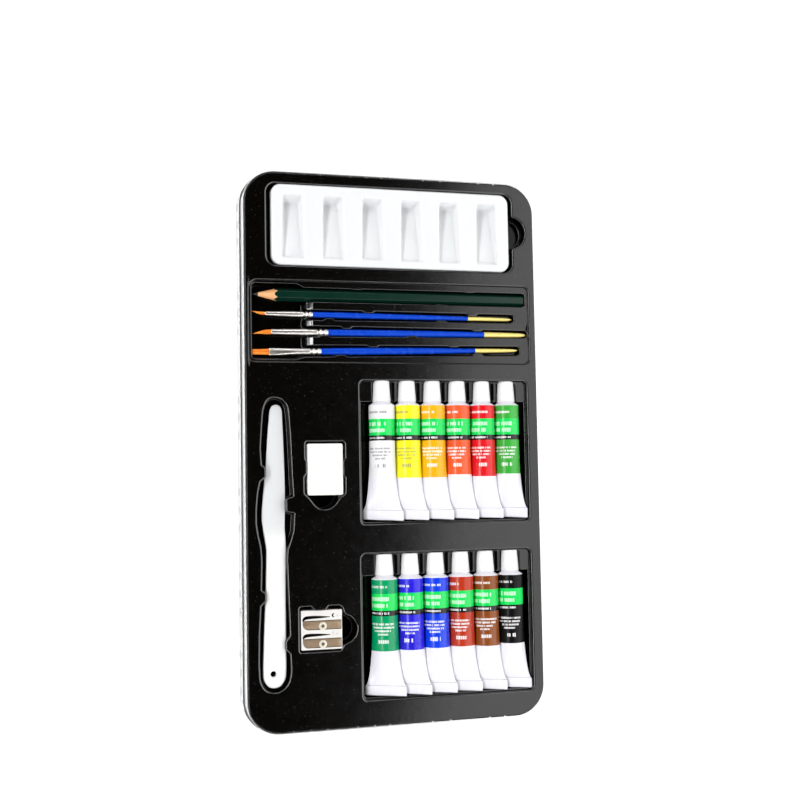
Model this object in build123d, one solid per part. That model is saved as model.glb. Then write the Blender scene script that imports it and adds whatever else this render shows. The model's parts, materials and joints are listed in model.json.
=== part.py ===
from build123d import *
import math
import os

# Acrylic painting set in a shallow metal tin, lying flat with its lid nested
# upside down under the base.
# Frame: +Z up, X across the width, Y along the height of the tin, origin at the
# centre of the flat underside.

# ---------------------------------------------------------------- dimensions (mm)
ZF = 22.0                  # top face of the moulded tray above the table
TRAY_HX, TRAY_HY, TRAY_R = 93.1, 167.5, 19.0      # half sizes and corner radius
SHEET = 0.7                # thickness of the formed tray sheet

TIN_T = 0.45               # tin plate
LID_HX, LID_HY, LID_R, LID_H = 94.95, 169.35, 20.8, 11.5
BASE_HX, BASE_HY, BASE_R = 93.9, 168.3, 19.75
RIM_Z = 21.8
HEM_T, HEM_H = 0.75, 3.0   # folded rim of the base
DENT_R, DENT_D, DENT_H, DENT_Z, DENT_PITCH = 3.0, 0.3, 7.6, 5.9, 10.8
DENT_LONG = (137.5, 83.0, 19.0, -36.5, -86.5, -133.5)
DENT_SHORT = (-56.0, -18.7, 18.7, 56.0)
STAKE_X = (-66.0, -55.7, -45.6, -26.9, -16.5, -7.0, 20.0, 31.5, 57.0, 67.0)

# palette
PAL_W, PAL_L, PAL_T, PAL_R = 153.4, 49.8, 8.6, 6.0
PAL_X, PAL_Y = 0.1, 135.85
WELL_PITCH, WELL_W0, WELL_W1, WELL_Y0, WELL_Y1 = 25.0, 15.6, 13.2, 115.2, 154.6
WELL_X = -0.7         # the row of wells sits a little left of the palette's middle
WELL_DEEP, WELL_SHALLOW = 7.2, 2.6

# brush recess
LAND_D, TIP_D = 1.5, 8.6
REC = (-91.0, 89.3, 52.0, 101.8)
TIP_X0, TIP_Y0, TIP_Y1 = -89.3, 53.3, 100.2
CH = {  # right end, wall y at x=-60.5 and at the right end, depth
    "pencil": (87.6, (88.6, 97.95), (88.6, 97.95), 8.3),
    "b1": (80.1, (77.2, 84.7), (77.9, 84.3), 5.5),
    "b2": (89.2, (67.0, 74.8), (68.5, 74.2), 5.9),
    "b3": (83.6, (54.65, 62.9), (57.2, 64.0), 5.9),
}
# pencil
PEN_FLAT, PEN_Y, PEN_D, PEN_X0, PEN_X1, LEAD_R = 6.9, 93.2, 4.6, -88.7, 86.3, 1.05
# tubes
TUBE_R, TUBE_PITCH, TUBE_X1, TUBE_D, TUBE_ROLL = 8.0, 16.37, -8.3, 4.0, 11.0
CAP_L, CAP_R0, CAP_R1, NECK_R, BORE_R = 13.0, 4.9, 5.65, 4.3, 4.35
TUBE_L, CRIMP_W, CRIMP_T = 85.6, 25.0, 1.0
ROW_TOP = (41.1, -64.95)
POCKET_D = 12.3
POCKETS = ((-23.7, 87.4, -47.6, 41.8, 3.5), (-24.2, 87.5, -153.0, -63.8, 4.0))
# small things
ERASER, ERASER_XY = (22.0, 31.2, 11.0), (-45.0, -12.9)
SHARP, SHARP_XY, SHARP_D = (25.0, 23.4, 11.0), (-48.45, -108.6), 0.5


def rr(hx, hy, r, x=0.0, y=0.0):
    return Pos(x, y) * RectangleRounded(2 * hx, 2 * hy, r)


def box_sk(x0, x1, y0, y1, r):
    return rr((x1 - x0) / 2, (y1 - y0) / 2, r, (x0 + x1) / 2, (y0 + y1) / 2)


def prism(sk, z0, z1):
    return extrude(Pos(0, 0, z0) * sk, amount=z1 - z0, dir=(0, 0, 1))


def poly(*pts):
    return make_face(Polyline(*pts, close=True))


def side(pts, direction, amount):
    return extrude(make_face(Polyline(*pts, close=True)), amount=amount, dir=direction)


def solids(shape):
    s = shape.solids()
    return s[0] if len(s) == 1 else Compound(children=list(s))


def save(shape, label):
    shape = solids(shape)
    shape.label = label
    export_step(shape, "parts/%s.step" % label)
    print("%-24s %9.3f cm3  %d solid(s)" % (label, shape.volume / 1000, len(shape.solids())))
    return shape


def spin(axis_pt, direction, prof):
    """Solid of revolution; prof is (distance along the axis, radius) pairs."""
    d = Vector(*direction).normalized()
    zdir = Vector(0, 0, 1).cross(d).normalized()
    p = Plane(origin=axis_pt, x_dir=d, z_dir=-zdir)
    pts = [(prof[0][0], 0)] + list(prof) + [(prof[-1][0], 0)]
    out = []
    for q in pts:
        if not out or abs(out[-1][0] - q[0]) > 1e-6 or abs(out[-1][1] - q[1]) > 1e-6:
            out.append(q)
    return revolve(p * make_face(Polyline(*out, close=True)), axis=Axis(axis_pt, d))


os.makedirs("parts", exist_ok=True)

# ================================================================ lid
def tub(hx, hy, r, z0, z1, rad):
    b = prism(rr(hx, hy, r), z0, z1)
    return fillet(b.edges().group_by(Axis.Z)[0], rad)


lid_out = tub(LID_HX, LID_HY, LID_R, 0, LID_H, 1.2)
lid_in = tub(LID_HX - TIN_T, LID_HY - TIN_T, LID_R - TIN_T, TIN_T, LID_H + 1, 0.75)
places = []
for g in DENT_LONG:
    for k in (-1, 0, 1):
        for s in (-1, 1):
            places.append((s * (LID_HX - DENT_D + DENT_R), g + k * DENT_PITCH))
for g in DENT_SHORT:
    for k in (-1, 0, 1):
        for s in (-1, 1):
            places.append((g + k * DENT_PITCH, s * (LID_HY - DENT_D + DENT_R)))
# each dent is a shallow upright hollow outside and a low bulge inside the skirt
bulge = Compound(children=[Pos(x, y, DENT_Z) * Cylinder(DENT_R + TIN_T, DENT_H + 0.9) for x, y in places])
hollow = Compound(children=[Pos(x, y, DENT_Z) * Cylinder(DENT_R, DENT_H) for x, y in places])
skirt = prism(rr(LID_HX - 0.01, LID_HY - 0.01, LID_R - 0.01), 0.6, LID_H - 0.6) - prism(rr(LID_HX - 1.5, LID_HY - 1.5, LID_R - 1.5), 0, LID_H)
bulge = skirt & bulge
lid = lid_out - lid_in
lid = lid + bulge.solids()
lid = lid - hollow.solids()
save(lid, "tin_lid")

# ================================================================ base
z0 = TIN_T
base = tub(BASE_HX, BASE_HY, BASE_R, z0, RIM_Z, 1.3)
base = fillet(base.edges().group_by(Axis.Z)[-1], 0.3)
base -= tub(BASE_HX - TIN_T, BASE_HY - TIN_T, BASE_R - TIN_T, z0 + TIN_T, RIM_Z - HEM_H, 0.85)
base -= prism(rr(BASE_HX - HEM_T, BASE_HY - HEM_T, BASE_R - HEM_T), RIM_Z - HEM_H - 0.5, RIM_Z + 1)
# small stakes pressed in from the rim over the edge of the tray
stake_xy = [(x, s * (BASE_HY - HEM_T)) for x in STAKE_X for s in (-1, 1)]
base += [Pos(x, y, RIM_Z - 0.9) * Cylinder(0.6, 1.2) for x, y in stake_xy]
save(base, "tin_base")

# ================================================================ tray
def channel(key):
    x1, (l0, l1), (r0, r1), d = CH[key]
    if key == "pencil":
        return box_sk(-63.0, x1, r0, r1, 2.2)
    r = (r1 - r0) / 2 - 0.02
    x = x1 - r
    return poly((-60.5, l0), (x, r0), (x, r1), (-60.5, l1)) + Pos(x, (r0 + r1) / 2) * Circle(r)


def smooth(pts):
    return make_face(Spline(*pts, periodic=True))


KNIFE_POCKET = [
    (-75.8, 31.2), (-70.6, 29.6), (-67.4, 25.5), (-66.5, 18), (-65.7, 5), (-65.1, -10), (-64.5, -25), (-63.7, -38),
    (-64.0, -49), (-65.9, -56), (-67.6, -61.5), (-68.0, -67), (-67.8, -80), (-67.3, -97), (-66.9, -112), (-66.6, -125),
    (-66.5, -134), (-68.3, -140), (-72.5, -144.0), (-77.8, -145.1), (-82.6, -143.5), (-85.7, -139.0), (-86.6, -132),
    (-86.4, -112), (-85.5, -95), (-84.9, -80), (-84.6, -66), (-85.3, -57), (-87.0, -49), (-87.6, -42), (-86.9, -28),
    (-85.7, -15), (-84.9, 0), (-84.1, 15), (-83.1, 24.5), (-80.6, 29.5),
]


def grown(pts, g):
    """The closed outline moved outward by g."""
    n, out = len(pts), []
    for i, (x, y) in enumerate(pts):
        (xa, ya), (xb, yb) = pts[i - 1], pts[(i + 1) % n]
        dx, dy = xb - xa, yb - ya
        m = math.hypot(dx, dy)
        out.append((x - g * dy / m, y + g * dx / m))
    return out


def wide_box(x0, x1, y0, y1, r, g):
    return box_sk(x0 - g, x1 + g, y0 - g, y1 + g, r + g)


def plain_pockets(g):
    """Outlines of the plain pockets, grown by g, with their depths."""
    out = [
        (wide_box(-80.3, 79.6, 109.7, 161.8, 7.0, g) + Pos(79.4, 136.5) * Ellipse(9.2 + g, 10.2 + g), PAL_T + 0.1),
        (smooth(grown(KNIFE_POCKET, g)), 6.3),
        (wide_box(-58.3, -32.0, -30.3, 4.6, 2.6, g) + Pos(-45.5, -29.0) * Ellipse(9.9 + g, 8.8 + g), 11.4),
        (wide_box(-62.7, -34.6, -122.3, -93.9, 2.4, g) + Pos(-36.0, -108.8) * Ellipse(10.3 + g, 9.4 + g), SHARP_D + SHARP[2] + 0.1),
    ]
    return out + [(wide_box(*q, g), POCKET_D) for q in POCKETS]


PLAIN = plain_pockets(0.0)
rec_sk = box_sk(*REC, 4.8)
chans = [(channel(k), CH[k][3]) for k in CH]


def tip_block(g):
    zt = LAND_D if g else 0.2
    pts = [(TIP_X0 - g, zt), (TIP_X0 - g, TIP_D + g), (-59.0 + g * 0.6, TIP_D + g), (-51.6 + g * 1.3, LAND_D), (-51.6 + g * 1.3, zt)]
    out = []
    for p in pts:
        if not out or p != out[-1]:
            out.append(p)
    return side([(x, TIP_Y0 - g, ZF - d) for x, d in out], (0, 1, 0), TIP_Y1 - TIP_Y0 + 2 * g)


tz0 = z0 + TIN_T
# the tray's outer skirt tapers in towards the floor of the base, on which it stands
DRAFT = 1.3


def skirt_block(inset, za, zb):
    g = inset + (ZF - za) * math.tan(math.radians(DRAFT))
    return extrude(Pos(0, 0, za) * rr(TRAY_HX - g, TRAY_HY - g, TRAY_R - g), amount=zb - za, taper=-DRAFT)


tray = skirt_block(0.0, tz0, ZF)
tray = fillet(tray.edges().group_by(Axis.Z)[-1], 0.8)
tray -= skirt_block(SHEET, tz0 - 1, ZF - SHEET)
bowls = [prism(sk, ZF - d - SHEET, ZF - 0.3) for sk, d in plain_pockets(SHEET)]
bowls.append(prism(wide_box(*REC, 4.8, SHEET), ZF - LAND_D - SHEET, ZF - 0.3))
bowls += [prism(offset(sk, SHEET, kind=Kind.ARC), ZF - d - SHEET, ZF - LAND_D) for sk, d in chans]
bowls.append(tip_block(SHEET))
for b in bowls:
    tray = tray + b
cuts = [prism(sk, ZF - d, ZF + 1) for sk, d in PLAIN]
cuts.append(prism(rec_sk, ZF - LAND_D, ZF + 1))
cuts += [prism(sk, ZF - d, ZF + 1) for sk, d in chans]
cuts.append(tip_block(0.0))
for c in cuts:
    tray = tray - c


def brush_line(key):
    b = BRUSH[key]
    return lambda x: b["y0"] + (b["y1"] - b["y0"]) * (x - b["tip"]) / (b["end"] - b["tip"])


BRUSH = {
    "b1": dict(n="brush_small", tip=-88.9, root=-80.4, fer=-51.3, end=78.7, y0=81.55, y1=80.85, d=3.5, r0=1.15, r1=1.75,
               handle=((0, 1.75), (0.15, 1.8), (0.5, 1.6), (0.78, 1.3), (0.93, 1.1), (0.985, 0.8), (1.0, 0.3)), flat=None),
    "b2": dict(n="brush_large", tip=-88.0, root=-76.8, fer=-41.8, end=88.3, y0=70.4, y1=71.0, d=3.6, r0=1.65, r1=2.0,
               handle=((0, 2.0), (0.2, 2.1), (0.5, 2.0), (0.78, 1.75), (0.93, 1.5), (0.985, 1.15), (1.0, 0.5)), flat=None),
    "b3": dict(n="brush_flat", tip=-88.9, root=-78.1, fer=-46.3, end=82.4, y0=58.1, y1=61.2, d=3.6, r0=2.15, r1=1.95,
               handle=((0, 1.95), (0.2, 2.2), (0.5, 2.0), (0.78, 1.4), (0.93, 1.15), (0.985, 0.85), (1.0, 0.3)), flat=(2.15, 0.85)),
}


def half_width(key, x):
    if key == "pencil":
        return PEN_FLAT / 2 / math.cos(math.pi / 6)
    b = BRUSH[key]
    f = (x - b["fer"]) / (b["end"] - b["fer"])
    if f < 0:
        return b["r1"] + 0.1
    for (fa, ra), (fb, rb) in zip(b["handle"], b["handle"][1:]):
        if fa <= f <= fb:
            return ra + (rb - ra) * (f - fa) / (fb - fa)
    return 1.0


def nub(key, x, s, reach=1.35, w=7.2):
    """Grip nub on a channel wall; s is +1 for the far wall, -1 for the near one."""
    x1, (l0, l1), (r0, r1), d = CH[key]
    t = (x + 60.5) / (x1 - (r1 - r0) / 2 + 60.5)
    wall = (l1 + (r1 - l1) * t) if s > 0 else (l0 + (r0 - l0) * t)
    line = PEN_Y if key == "pencil" else brush_line(key)(x)
    free = line + s * (half_width(key, x) + 0.3)
    tip = wall - s * reach
    tip = max(tip, free) if s > 0 else min(tip, free)
    a = wall + s * 0.4
    return prism(poly((x - w / 2, a), (x - w / 2 + 1.5, tip), (x + w / 2 - 1.5, tip), (x + w / 2, a)), ZF - d - 0.1, ZF - LAND_D - 0.25)


for key, spots in (
    ("pencil", ((-23.2, 1), (49.8, 1), (31.0, -1))),
    ("b1", ((-16.0, 1), (51.5, 1), (-41.0, -1), (31.0, -1))),
    ("b2", ((-30.2, 1), (54.6, 1), (-44.0, -1), (11.6, -1))),
    ("b3", ((-13.5, 1), (38.6, 1), (-33.8, -1), (54.6, -1))),
):
    for x, s in spots:
        tray = tray + nub(key, x, s)
# nubs that hold the knife, the eraser and the sharpener
for pts, d in (
    (((-86.4, -19.0), (-82.6, -17.2), (-82.2, -12.2), (-85.6, -10.4)), 6.3),
    (((-64.0, -29.8), (-68.5, -31.4), (-68.6, -36.6), (-63.4, -38.2)), 6.3),
    (((-85.8, -92.8), (-82.9, -90.6), (-82.7, -86.0), (-85.4, -84.2)), 6.3),
    (((-66.3, -111.6), (-69.0, -114.6), (-69.0, -118.4), (-66.2, -121.2)), 6.3),
    (((-58.4, -6.6), (-57.0, -8.4), (-57.0, -15.0), (-58.4, -17.2)), 11.4),
    (((-31.6, -6.6), (-33.1, -8.4), (-33.1, -15.8), (-31.6, -17.6)), 11.4),
    (((-53.0, -93.5), (-51.6, -96.2), (-47.0, -96.2), (-45.6, -93.5)), 11.6),
):
    tray = tray + prism(poly(*pts), ZF - d - 0.1, ZF - 1.2)
# ribs that keep the caps apart
for (x0, x1, y0, y1, r), row in zip(POCKETS, ROW_TOP):
    xs = [TUBE_X1 + TUBE_PITCH * k for k in range(6)]
    gap = CAP_R1 + 0.95
    spans = [(x0 - 0.3, xs[0] - gap)] + [(xs[k] + gap, xs[k + 1] - gap) for k in range(5)] + [(xs[5] + gap, x1 + 0.3)]
    for a, b in spans:
        zb, zt = ZF - POCKET_D - 0.1, ZF - 3.0
        tray = tray + side([(a - 0.4, y1 + 0.3, zb), (b + 0.4, y1 + 0.3, zb), (b, y1 + 0.3, zt), (a, y1 + 0.3, zt)], (0, -1, 0), y1 + 0.3 - (row - CAP_L + 0.3))
tray = tray - [Pos(x, y, ZF - 1.0) * Cylinder(0.8, 3.0) for x, y in stake_xy]
save(tray, "tray")

# ================================================================ palette
zp = ZF - PAL_T
pal = prism(rr(PAL_W / 2, PAL_L / 2, PAL_R, PAL_X, PAL_Y), zp, ZF)
pal = fillet(pal.edges().group_by(Axis.Z)[-1], 1.0)
pal -= prism(rr(PAL_W / 2 - 1.4, PAL_L / 2 - 1.4, PAL_R - 1.4, PAL_X, PAL_Y), zp - 0.1, ZF - 1.4)


def well(x, g):
    top = ZF + 0.5 if not g else ZF - 0.6
    a0, a1 = WELL_W0 / 2 + g, WELL_W1 / 2 + g
    y0, y1 = WELL_Y0 - g, WELL_Y1 + g
    plan = prism(poly((x - a0, y0), (x + a0, y0), (x + a1, y1), (x - a1, y1)), ZF - 12, top)
    cut = side([(x - 20, y0 - 1, top), (x - 20, y0 - 1, ZF - WELL_SHALLOW - g + 0.15), (x - 20, y1 + 1, ZF - WELL_DEEP - g), (x - 20, y1 + 1, top)], (1, 0, 0), 40)
    return plan & cut


for k in range(6):
    pal = pal + well(PAL_X + WELL_X + (k - 2.5) * WELL_PITCH, 1.2)
for k in range(6):
    pal = pal - well(PAL_X + WELL_X + (k - 2.5) * WELL_PITCH, 0.0)
save(pal, "palette")

# ================================================================ pencil
zc = ZF - PEN_D
L = PEN_X1 - PEN_X0
hr = PEN_FLAT / 2 / math.cos(math.pi / 6)
pl = Plane(origin=(PEN_X0, PEN_Y, zc), x_dir=(0, 1, 0), z_dir=(1, 0, 0))
hexa = make_face(Polyline(*[(hr * math.cos(math.radians(60 * k)), hr * math.sin(math.radians(60 * k))) for k in range(6)], close=True))
bar = extrude(pl * hexa, amount=L, dir=(1, 0, 0))
env = spin((PEN_X0, PEN_Y, zc), (1, 0, 0), [(0, 0.15), (17.6, 4.35), (L + 1, 4.35)])
core = extrude(pl * Circle(LEAD_R), amount=L, dir=(1, 0, 0))
save((bar & env) - core, "pencil_barrel")
save(core & env, "pencil_lead")

# ================================================================ brushes
for key in ("b1", "b2", "b3"):
    b = BRUSH[key]
    xt, xr, xf, xe = b["tip"], b["root"], b["fer"], b["end"]
    slope = (b["y1"] - b["y0"]) / (xe - xt)
    k = math.hypot(1, slope)
    D = (1, slope, 0)

    def at(x):
        return (x, b["y0"] + slope * (x - xt), ZF - b["d"])

    ten = b["r1"] - 0.4
    TEN_L = 8.0
    handle = spin(at(xf), D, [(f * (xe - xf) * k, r) for f, r in b["handle"]])
    handle = handle + spin(at(xf - TEN_L), D, [(0, ten), ((TEN_L + 0.3) * k, ten)])
    fl = (xf - xr) * k
    r1 = b["r1"]
    rm = r1 - 0.1
    rings = [(-7.0, rm), (-6.4, r1), (-5.6, r1), (-5.0, rm), (-3.2, rm), (-2.6, r1), (-1.8, r1), (-1.2, rm), (-0.4, r1), (0, r1)]
    if b["flat"] is None:
        ferrule = spin(at(xr), D, [(0, b["r0"]), (fl * 0.6, rm)] + [(fl + s, r) for s, r in rings])
        ferrule -= spin(at(xr - 0.5), D, [(0, b["r0"] - 0.22), (6.0 * k, b["r0"] - 0.22)])
        hr0 = b["r0"] - 0.22
        hair = spin(at(xt), D, [(0, 0.12), (1.5, 0.3), ((xr - xt) * 0.6, hr0 * 0.92), ((xr - xt + 5.45) * k, hr0)])
    else:
        # a round tube pressed flat towards the hairs
        wide, thick = b["flat"]

        def slab(xa, ha, xb, hb):
            za = ZF - b["d"]
            return side([(xa, 40, za - ha), (xa, 40, za + ha), (xb, 40, za + hb), (xb, 40, za - hb)], (0, 1, 0), 40)

        ferrule = spin(at(xr), D, [(0, wide), (20.0, rm)] + [(fl + s, r) for s, r in rings])
        ferrule = ferrule & (slab(xr - 1, thick - 0.06, xr + 20, rm + 0.3) + slab(xr + 19.9, 3.0, xf + 1, 3.0))
        core = spin(at(xr - 0.5), D, [(0, wide - 0.25), (6.0 * k, wide - 0.25)])
        ferrule -= core & slab(xr - 2, thick - 0.25, xr + 8, thick - 0.25)
        hw = wide - 0.25
        hair = spin(at(xt), D, [(0, hw - 0.35), ((xr - xt + 5.45) * k, hw)])
        hair = hair & (slab(xt - 1, 0.1, xr - 2, thick - 0.25) + slab(xr - 2.1, thick - 0.25, xr + 7, thick - 0.25))
    ferrule -= spin(at(xf - TEN_L), D, [(0, ten), ((TEN_L + 0.5) * k, ten)])
    save(handle, b["n"] + "_handle")
    save(ferrule, b["n"] + "_ferrule")
    save(hair, b["n"] + "_bristles")

# ================================================================ palette knife
KZ = ZF - 2.5              # top of the handle
HT, BT, CRANK = 3.6, 1.2, 2.0
grip = poly((-82.1, -53.0), (-80.8, -60.1), (-81.4, -80.2), (-82.3, -100.3), (-83.6, -130.4), (-83.75, -134.9), (-69.9, -134.9), (-69.5, -130.4), (-69.5, -105.3), (-69.3, -80.2), (-68.9, -60.1), (-69.3, -53.0))
grip = grip + Pos(-76.83, -134.9) * Circle(6.92)
blade = poly((-77.9, 23.0), (-79.2, 10.2), (-80.7, -9.9), (-82.2, -25), (-83.3, -38.1), (-83.3, -44.0), (-69.4, -44.0), (-69.15, -37.1), (-69.1, -20), (-69.6, 0.1), (-70.4, 23.0))
blade = blade + Pos(-74.15, 22.6) * Circle(3.76)
knife = prism(grip, KZ - HT, KZ) + prism(blade, KZ - CRANK - BT, KZ - CRANK)
crank = side([(-90, -43.8, KZ - CRANK - BT), (-90, -43.8, KZ - CRANK), (-90, -53.2, KZ), (-90, -53.2, KZ - HT)], (1, 0, 0), 30)
knife = knife + (crank & prism(poly((-83.3, -43.6), (-82.1, -53.3), (-69.3, -53.3), (-69.4, -43.6)), 0, 40))
knife -= Pos(-77.45, -133.4, KZ - 2) * Cylinder(1.8, 10)
save(knife, "palette_knife")

# ================================================================ eraser
er = Pos(ERASER_XY[0], ERASER_XY[1], ZF - 0.3 - ERASER[2] / 2) * Box(*ERASER)
save(fillet(er.edges(), 0.5), "eraser")

# ================================================================ sharpener
sx, sy = SHARP_XY
sw, sl, st = SHARP
zt = ZF - SHARP_D
x0, x1 = sx - sw / 2, sx + sw / 2
body = Pos(sx, sy, zt - st / 2) * Box(sw, sl, st)
body = fillet(body.edges().filter_by(Axis.Z), 0.5)
BLADE_Y = (-105.6, -116.1)
SCREW_X = -47.9
SEAT = 0.9


def seat(yb, hy, r, grow=0.0):
    return Pos(sx + 0.75, yb) * RectangleRounded(23.0 + 2 * grow, 2 * hy, r) + Pos(sx + 6.2, yb) * Rectangle(12.1 + 2 * grow, 2 * hy)


for yb in BLADE_Y:
    body -= spin((x0 - 0.5, yb + 2.3, zt - 5.5), (1, 0, 0), [(0, 4.15), (22.5, 0.9), (sw + 2.0, 0.9)])
    # slot where the shavings leave, wider at the left
    body -= prism(poly((x0 + 1.6, yb + 3.25), (x0 + 3.6, yb + 5.0), (x0 + 17.0, yb + 4.0), (x0 + 17.0, yb + 3.25)), zt - 5.5, zt + 1)
    body -= prism(seat(yb, 2.8, 2.6, 0.05), zt - SEAT, zt + 1)
    body -= prism(box_sk(x1 - 6.3, x1 - 0.9, yb + 3.9, yb + 5.4, 0.7), zt - 1.6, zt + 1)
    body -= Pos(SCREW_X, yb - 0.6, zt - 2.4) * Cylinder(0.9, 4.4)
save(body, "sharpener_body")
for n, yb in zip((1, 2), BLADE_Y):
    bl = prism(seat(yb, 2.75, 2.55), zt - SEAT, zt - SEAT + 0.6)
    bl -= Pos(SCREW_X, yb - 0.6, zt) * Cylinder(1.1, 6)
    save(bl, "sharpener_blade_%d" % n)
screws = []
for yb in BLADE_Y:
    zb = zt - SEAT + 0.6
    head = Pos(SCREW_X, yb - 0.6, zb + 0.45) * Cylinder(2.2, 0.9)
    head = chamfer(head.edges().group_by(Axis.Z)[-1], 0.35)
    head = head + Pos(SCREW_X, yb - 0.6, zb - 1.9) * Cylinder(0.88, 4.0)
    head -= Pos(SCREW_X, yb - 0.6, zb + 0.9) * Rot(0, 0, 35) * Box(6.0, 0.5, 0.8)
    screws += head.solids()
save(Compound(children=screws), "sharpener_screws")

# ================================================================ tubes
# half width and half height of the tube's section at distances from the cap's top
SECTIONS = ((15.3, 8.0, 8.0), (44.0, 8.03, 7.95), (57.0, 8.35, 7.0), (67.5, 9.2, 4.6), (75.0, 10.4, 2.9), (79.3, 11.7, 1.5), (80.4, CRIMP_W / 2, CRIMP_T / 2))
NAMES = (
    ("white", "lemon_yellow", "deep_yellow", "orange_red", "red", "light_green"),
    ("emerald", "ultramarine", "blue", "red_brown", "brown", "black"),
)


def tube_and_cap(x, ytop):
    zc = ZF - TUBE_D

    def lens(s, a, b):
        p = Plane(origin=(x, ytop - s, zc), x_dir=(1, 0, 0), z_dir=(0, -1, 0))
        return p * make_face(ThreePointArc((-a, 0), (0, b), (a, 0)) + ThreePointArc((a, 0), (0, -b), (-a, 0)))

    body = loft([lens(*s) for s in SECTIONS], ruled=True)
    body = body + Pos(x, ytop - (80.2 + TUBE_L) / 2, zc) * Box(CRIMP_W, TUBE_L - 80.2, CRIMP_T)
    body = body + spin((x, ytop, zc), (0, -1, 0), [(2.6, NECK_R), (13.2, NECK_R), (13.2, 5.4), (13.7, 5.4), (15.3, 8.0), (15.5, 8.0)])
    body = body.rotate(Axis((x, ytop, zc), (0, 1, 0)), -TUBE_ROLL)
    cap = spin((x, ytop, zc), (0, -1, 0), [(0, CAP_R0 - 0.5), (0.5, CAP_R0), (12.4, CAP_R1), (CAP_L, CAP_R1)])
    cap -= spin((x, ytop, zc), (0, -1, 0), [(2.4, BORE_R), (CAP_L + 0.5, BORE_R)])
    return body, cap


for row, ytop in zip(NAMES, ROW_TOP):
    for k, n in enumerate(row):
        t_, c_ = tube_and_cap(TUBE_X1 + k * TUBE_PITCH, ytop)
        save(t_, "tube_" + n)
        save(c_, "cap_" + n)
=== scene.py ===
import bpy
import bmesh
import json
import math
import random
import numpy as np
from mathutils import Matrix, Vector
from mathutils.geometry import delaunay_2d_cdt

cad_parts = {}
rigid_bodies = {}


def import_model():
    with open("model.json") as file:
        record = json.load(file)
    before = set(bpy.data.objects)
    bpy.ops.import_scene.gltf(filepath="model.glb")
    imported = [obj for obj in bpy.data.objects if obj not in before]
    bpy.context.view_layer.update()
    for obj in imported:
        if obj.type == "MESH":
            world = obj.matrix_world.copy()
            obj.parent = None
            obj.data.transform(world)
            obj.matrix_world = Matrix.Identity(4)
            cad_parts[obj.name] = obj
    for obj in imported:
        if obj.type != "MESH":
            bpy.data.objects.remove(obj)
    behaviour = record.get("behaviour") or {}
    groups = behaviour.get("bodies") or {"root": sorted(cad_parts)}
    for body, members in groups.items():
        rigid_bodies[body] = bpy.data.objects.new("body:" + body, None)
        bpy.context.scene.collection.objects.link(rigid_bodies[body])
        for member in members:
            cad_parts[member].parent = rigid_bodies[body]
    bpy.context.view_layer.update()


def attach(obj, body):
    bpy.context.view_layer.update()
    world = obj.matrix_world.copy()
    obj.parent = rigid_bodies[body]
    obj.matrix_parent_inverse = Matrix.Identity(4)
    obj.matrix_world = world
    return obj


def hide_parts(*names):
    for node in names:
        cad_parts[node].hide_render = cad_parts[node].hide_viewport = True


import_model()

random.seed(7)
MM = 0.001
ZF = 22.0            # top face of the tray, mm above the table

# =====================================================================
# outlines (mm, in the plane of the tray)
# =====================================================================
def area2(P):
    x, y = P[:, 0], P[:, 1]
    return float(np.sum(x * np.roll(y, -1) - np.roll(x, -1) * y))


def outline(pts, step=None, da=9.0):
    """Closed outline with rounded corners. pts: (x, y, radius)."""
    P = np.array([p[:2] for p in pts], float)
    R = [p[2] if len(p) > 2 else 0.0 for p in pts]
    if area2(P) < 0:
        P = P[::-1]
        R = R[::-1]
    n = len(P)
    out = []
    for i in range(n):
        p, a, b = P[i], P[i - 1], P[(i + 1) % n]
        u, v = a - p, b - p
        lu, lv = np.linalg.norm(u), np.linalg.norm(v)
        u, v = u / lu, v / lv
        cosang = float(np.clip(np.dot(u, v), -1, 1))
        ang = math.acos(cosang)
        turn = math.pi - ang
        if R[i] <= 0 or turn < math.radians(1.0):
            out.append(p)
            continue
        t = R[i] / math.tan(ang / 2)
        t = min(t, 0.49 * lu, 0.49 * lv)
        r = t * math.tan(ang / 2)
        s, e = p + u * t, p + v * t
        k = max(1, int(math.ceil(math.degrees(turn) / da)))
        bis = (u + v)
        bis = bis / np.linalg.norm(bis)
        c = p + bis * (r / math.sin(ang / 2))
        a0 = math.atan2(*(s - c)[::-1])
        a1 = math.atan2(*(e - c)[::-1])
        d = (a1 - a0 + math.pi) % (2 * math.pi) - math.pi
        for j in range(k + 1):
            w = a0 + d * j / k
            out.append(c + r * np.array([math.cos(w), math.sin(w)]))
    out = np.array(out)
    if step:
        res = []
        for i in range(len(out)):
            a, b = out[i], out[(i + 1) % len(out)]
            res.append(a)
            m = int(np.linalg.norm(b - a) // step)
            for j in range(1, m + 1):
                res.append(a + (b - a) * j / (m + 1))
        out = np.array(res)
    keep = [i for i in range(len(out)) if np.linalg.norm(out[i] - out[i - 1]) > 1e-4]
    return out[keep]


def rrect(x0, x1, y0, y1, r, step=6.0, da=9.0):
    return outline([(x0, y0, r), (x1, y0, r), (x1, y1, r), (x0, y1, r)], step, da)


def nearest(P, Q):
    A, B = Q, np.roll(Q, -1, axis=0)
    AB = B - A
    L = (AB ** 2).sum(1)
    d = P[:, None, :] - A[None]
    t = np.clip((d * AB[None]).sum(2) / L[None], 0, 1)
    C = A[None] + t[..., None] * AB[None]
    D = ((P[:, None, :] - C) ** 2).sum(2)
    k = D.argmin(1)
    i = np.arange(len(P))
    return C[i, k], np.sqrt(D[i, k])


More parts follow.
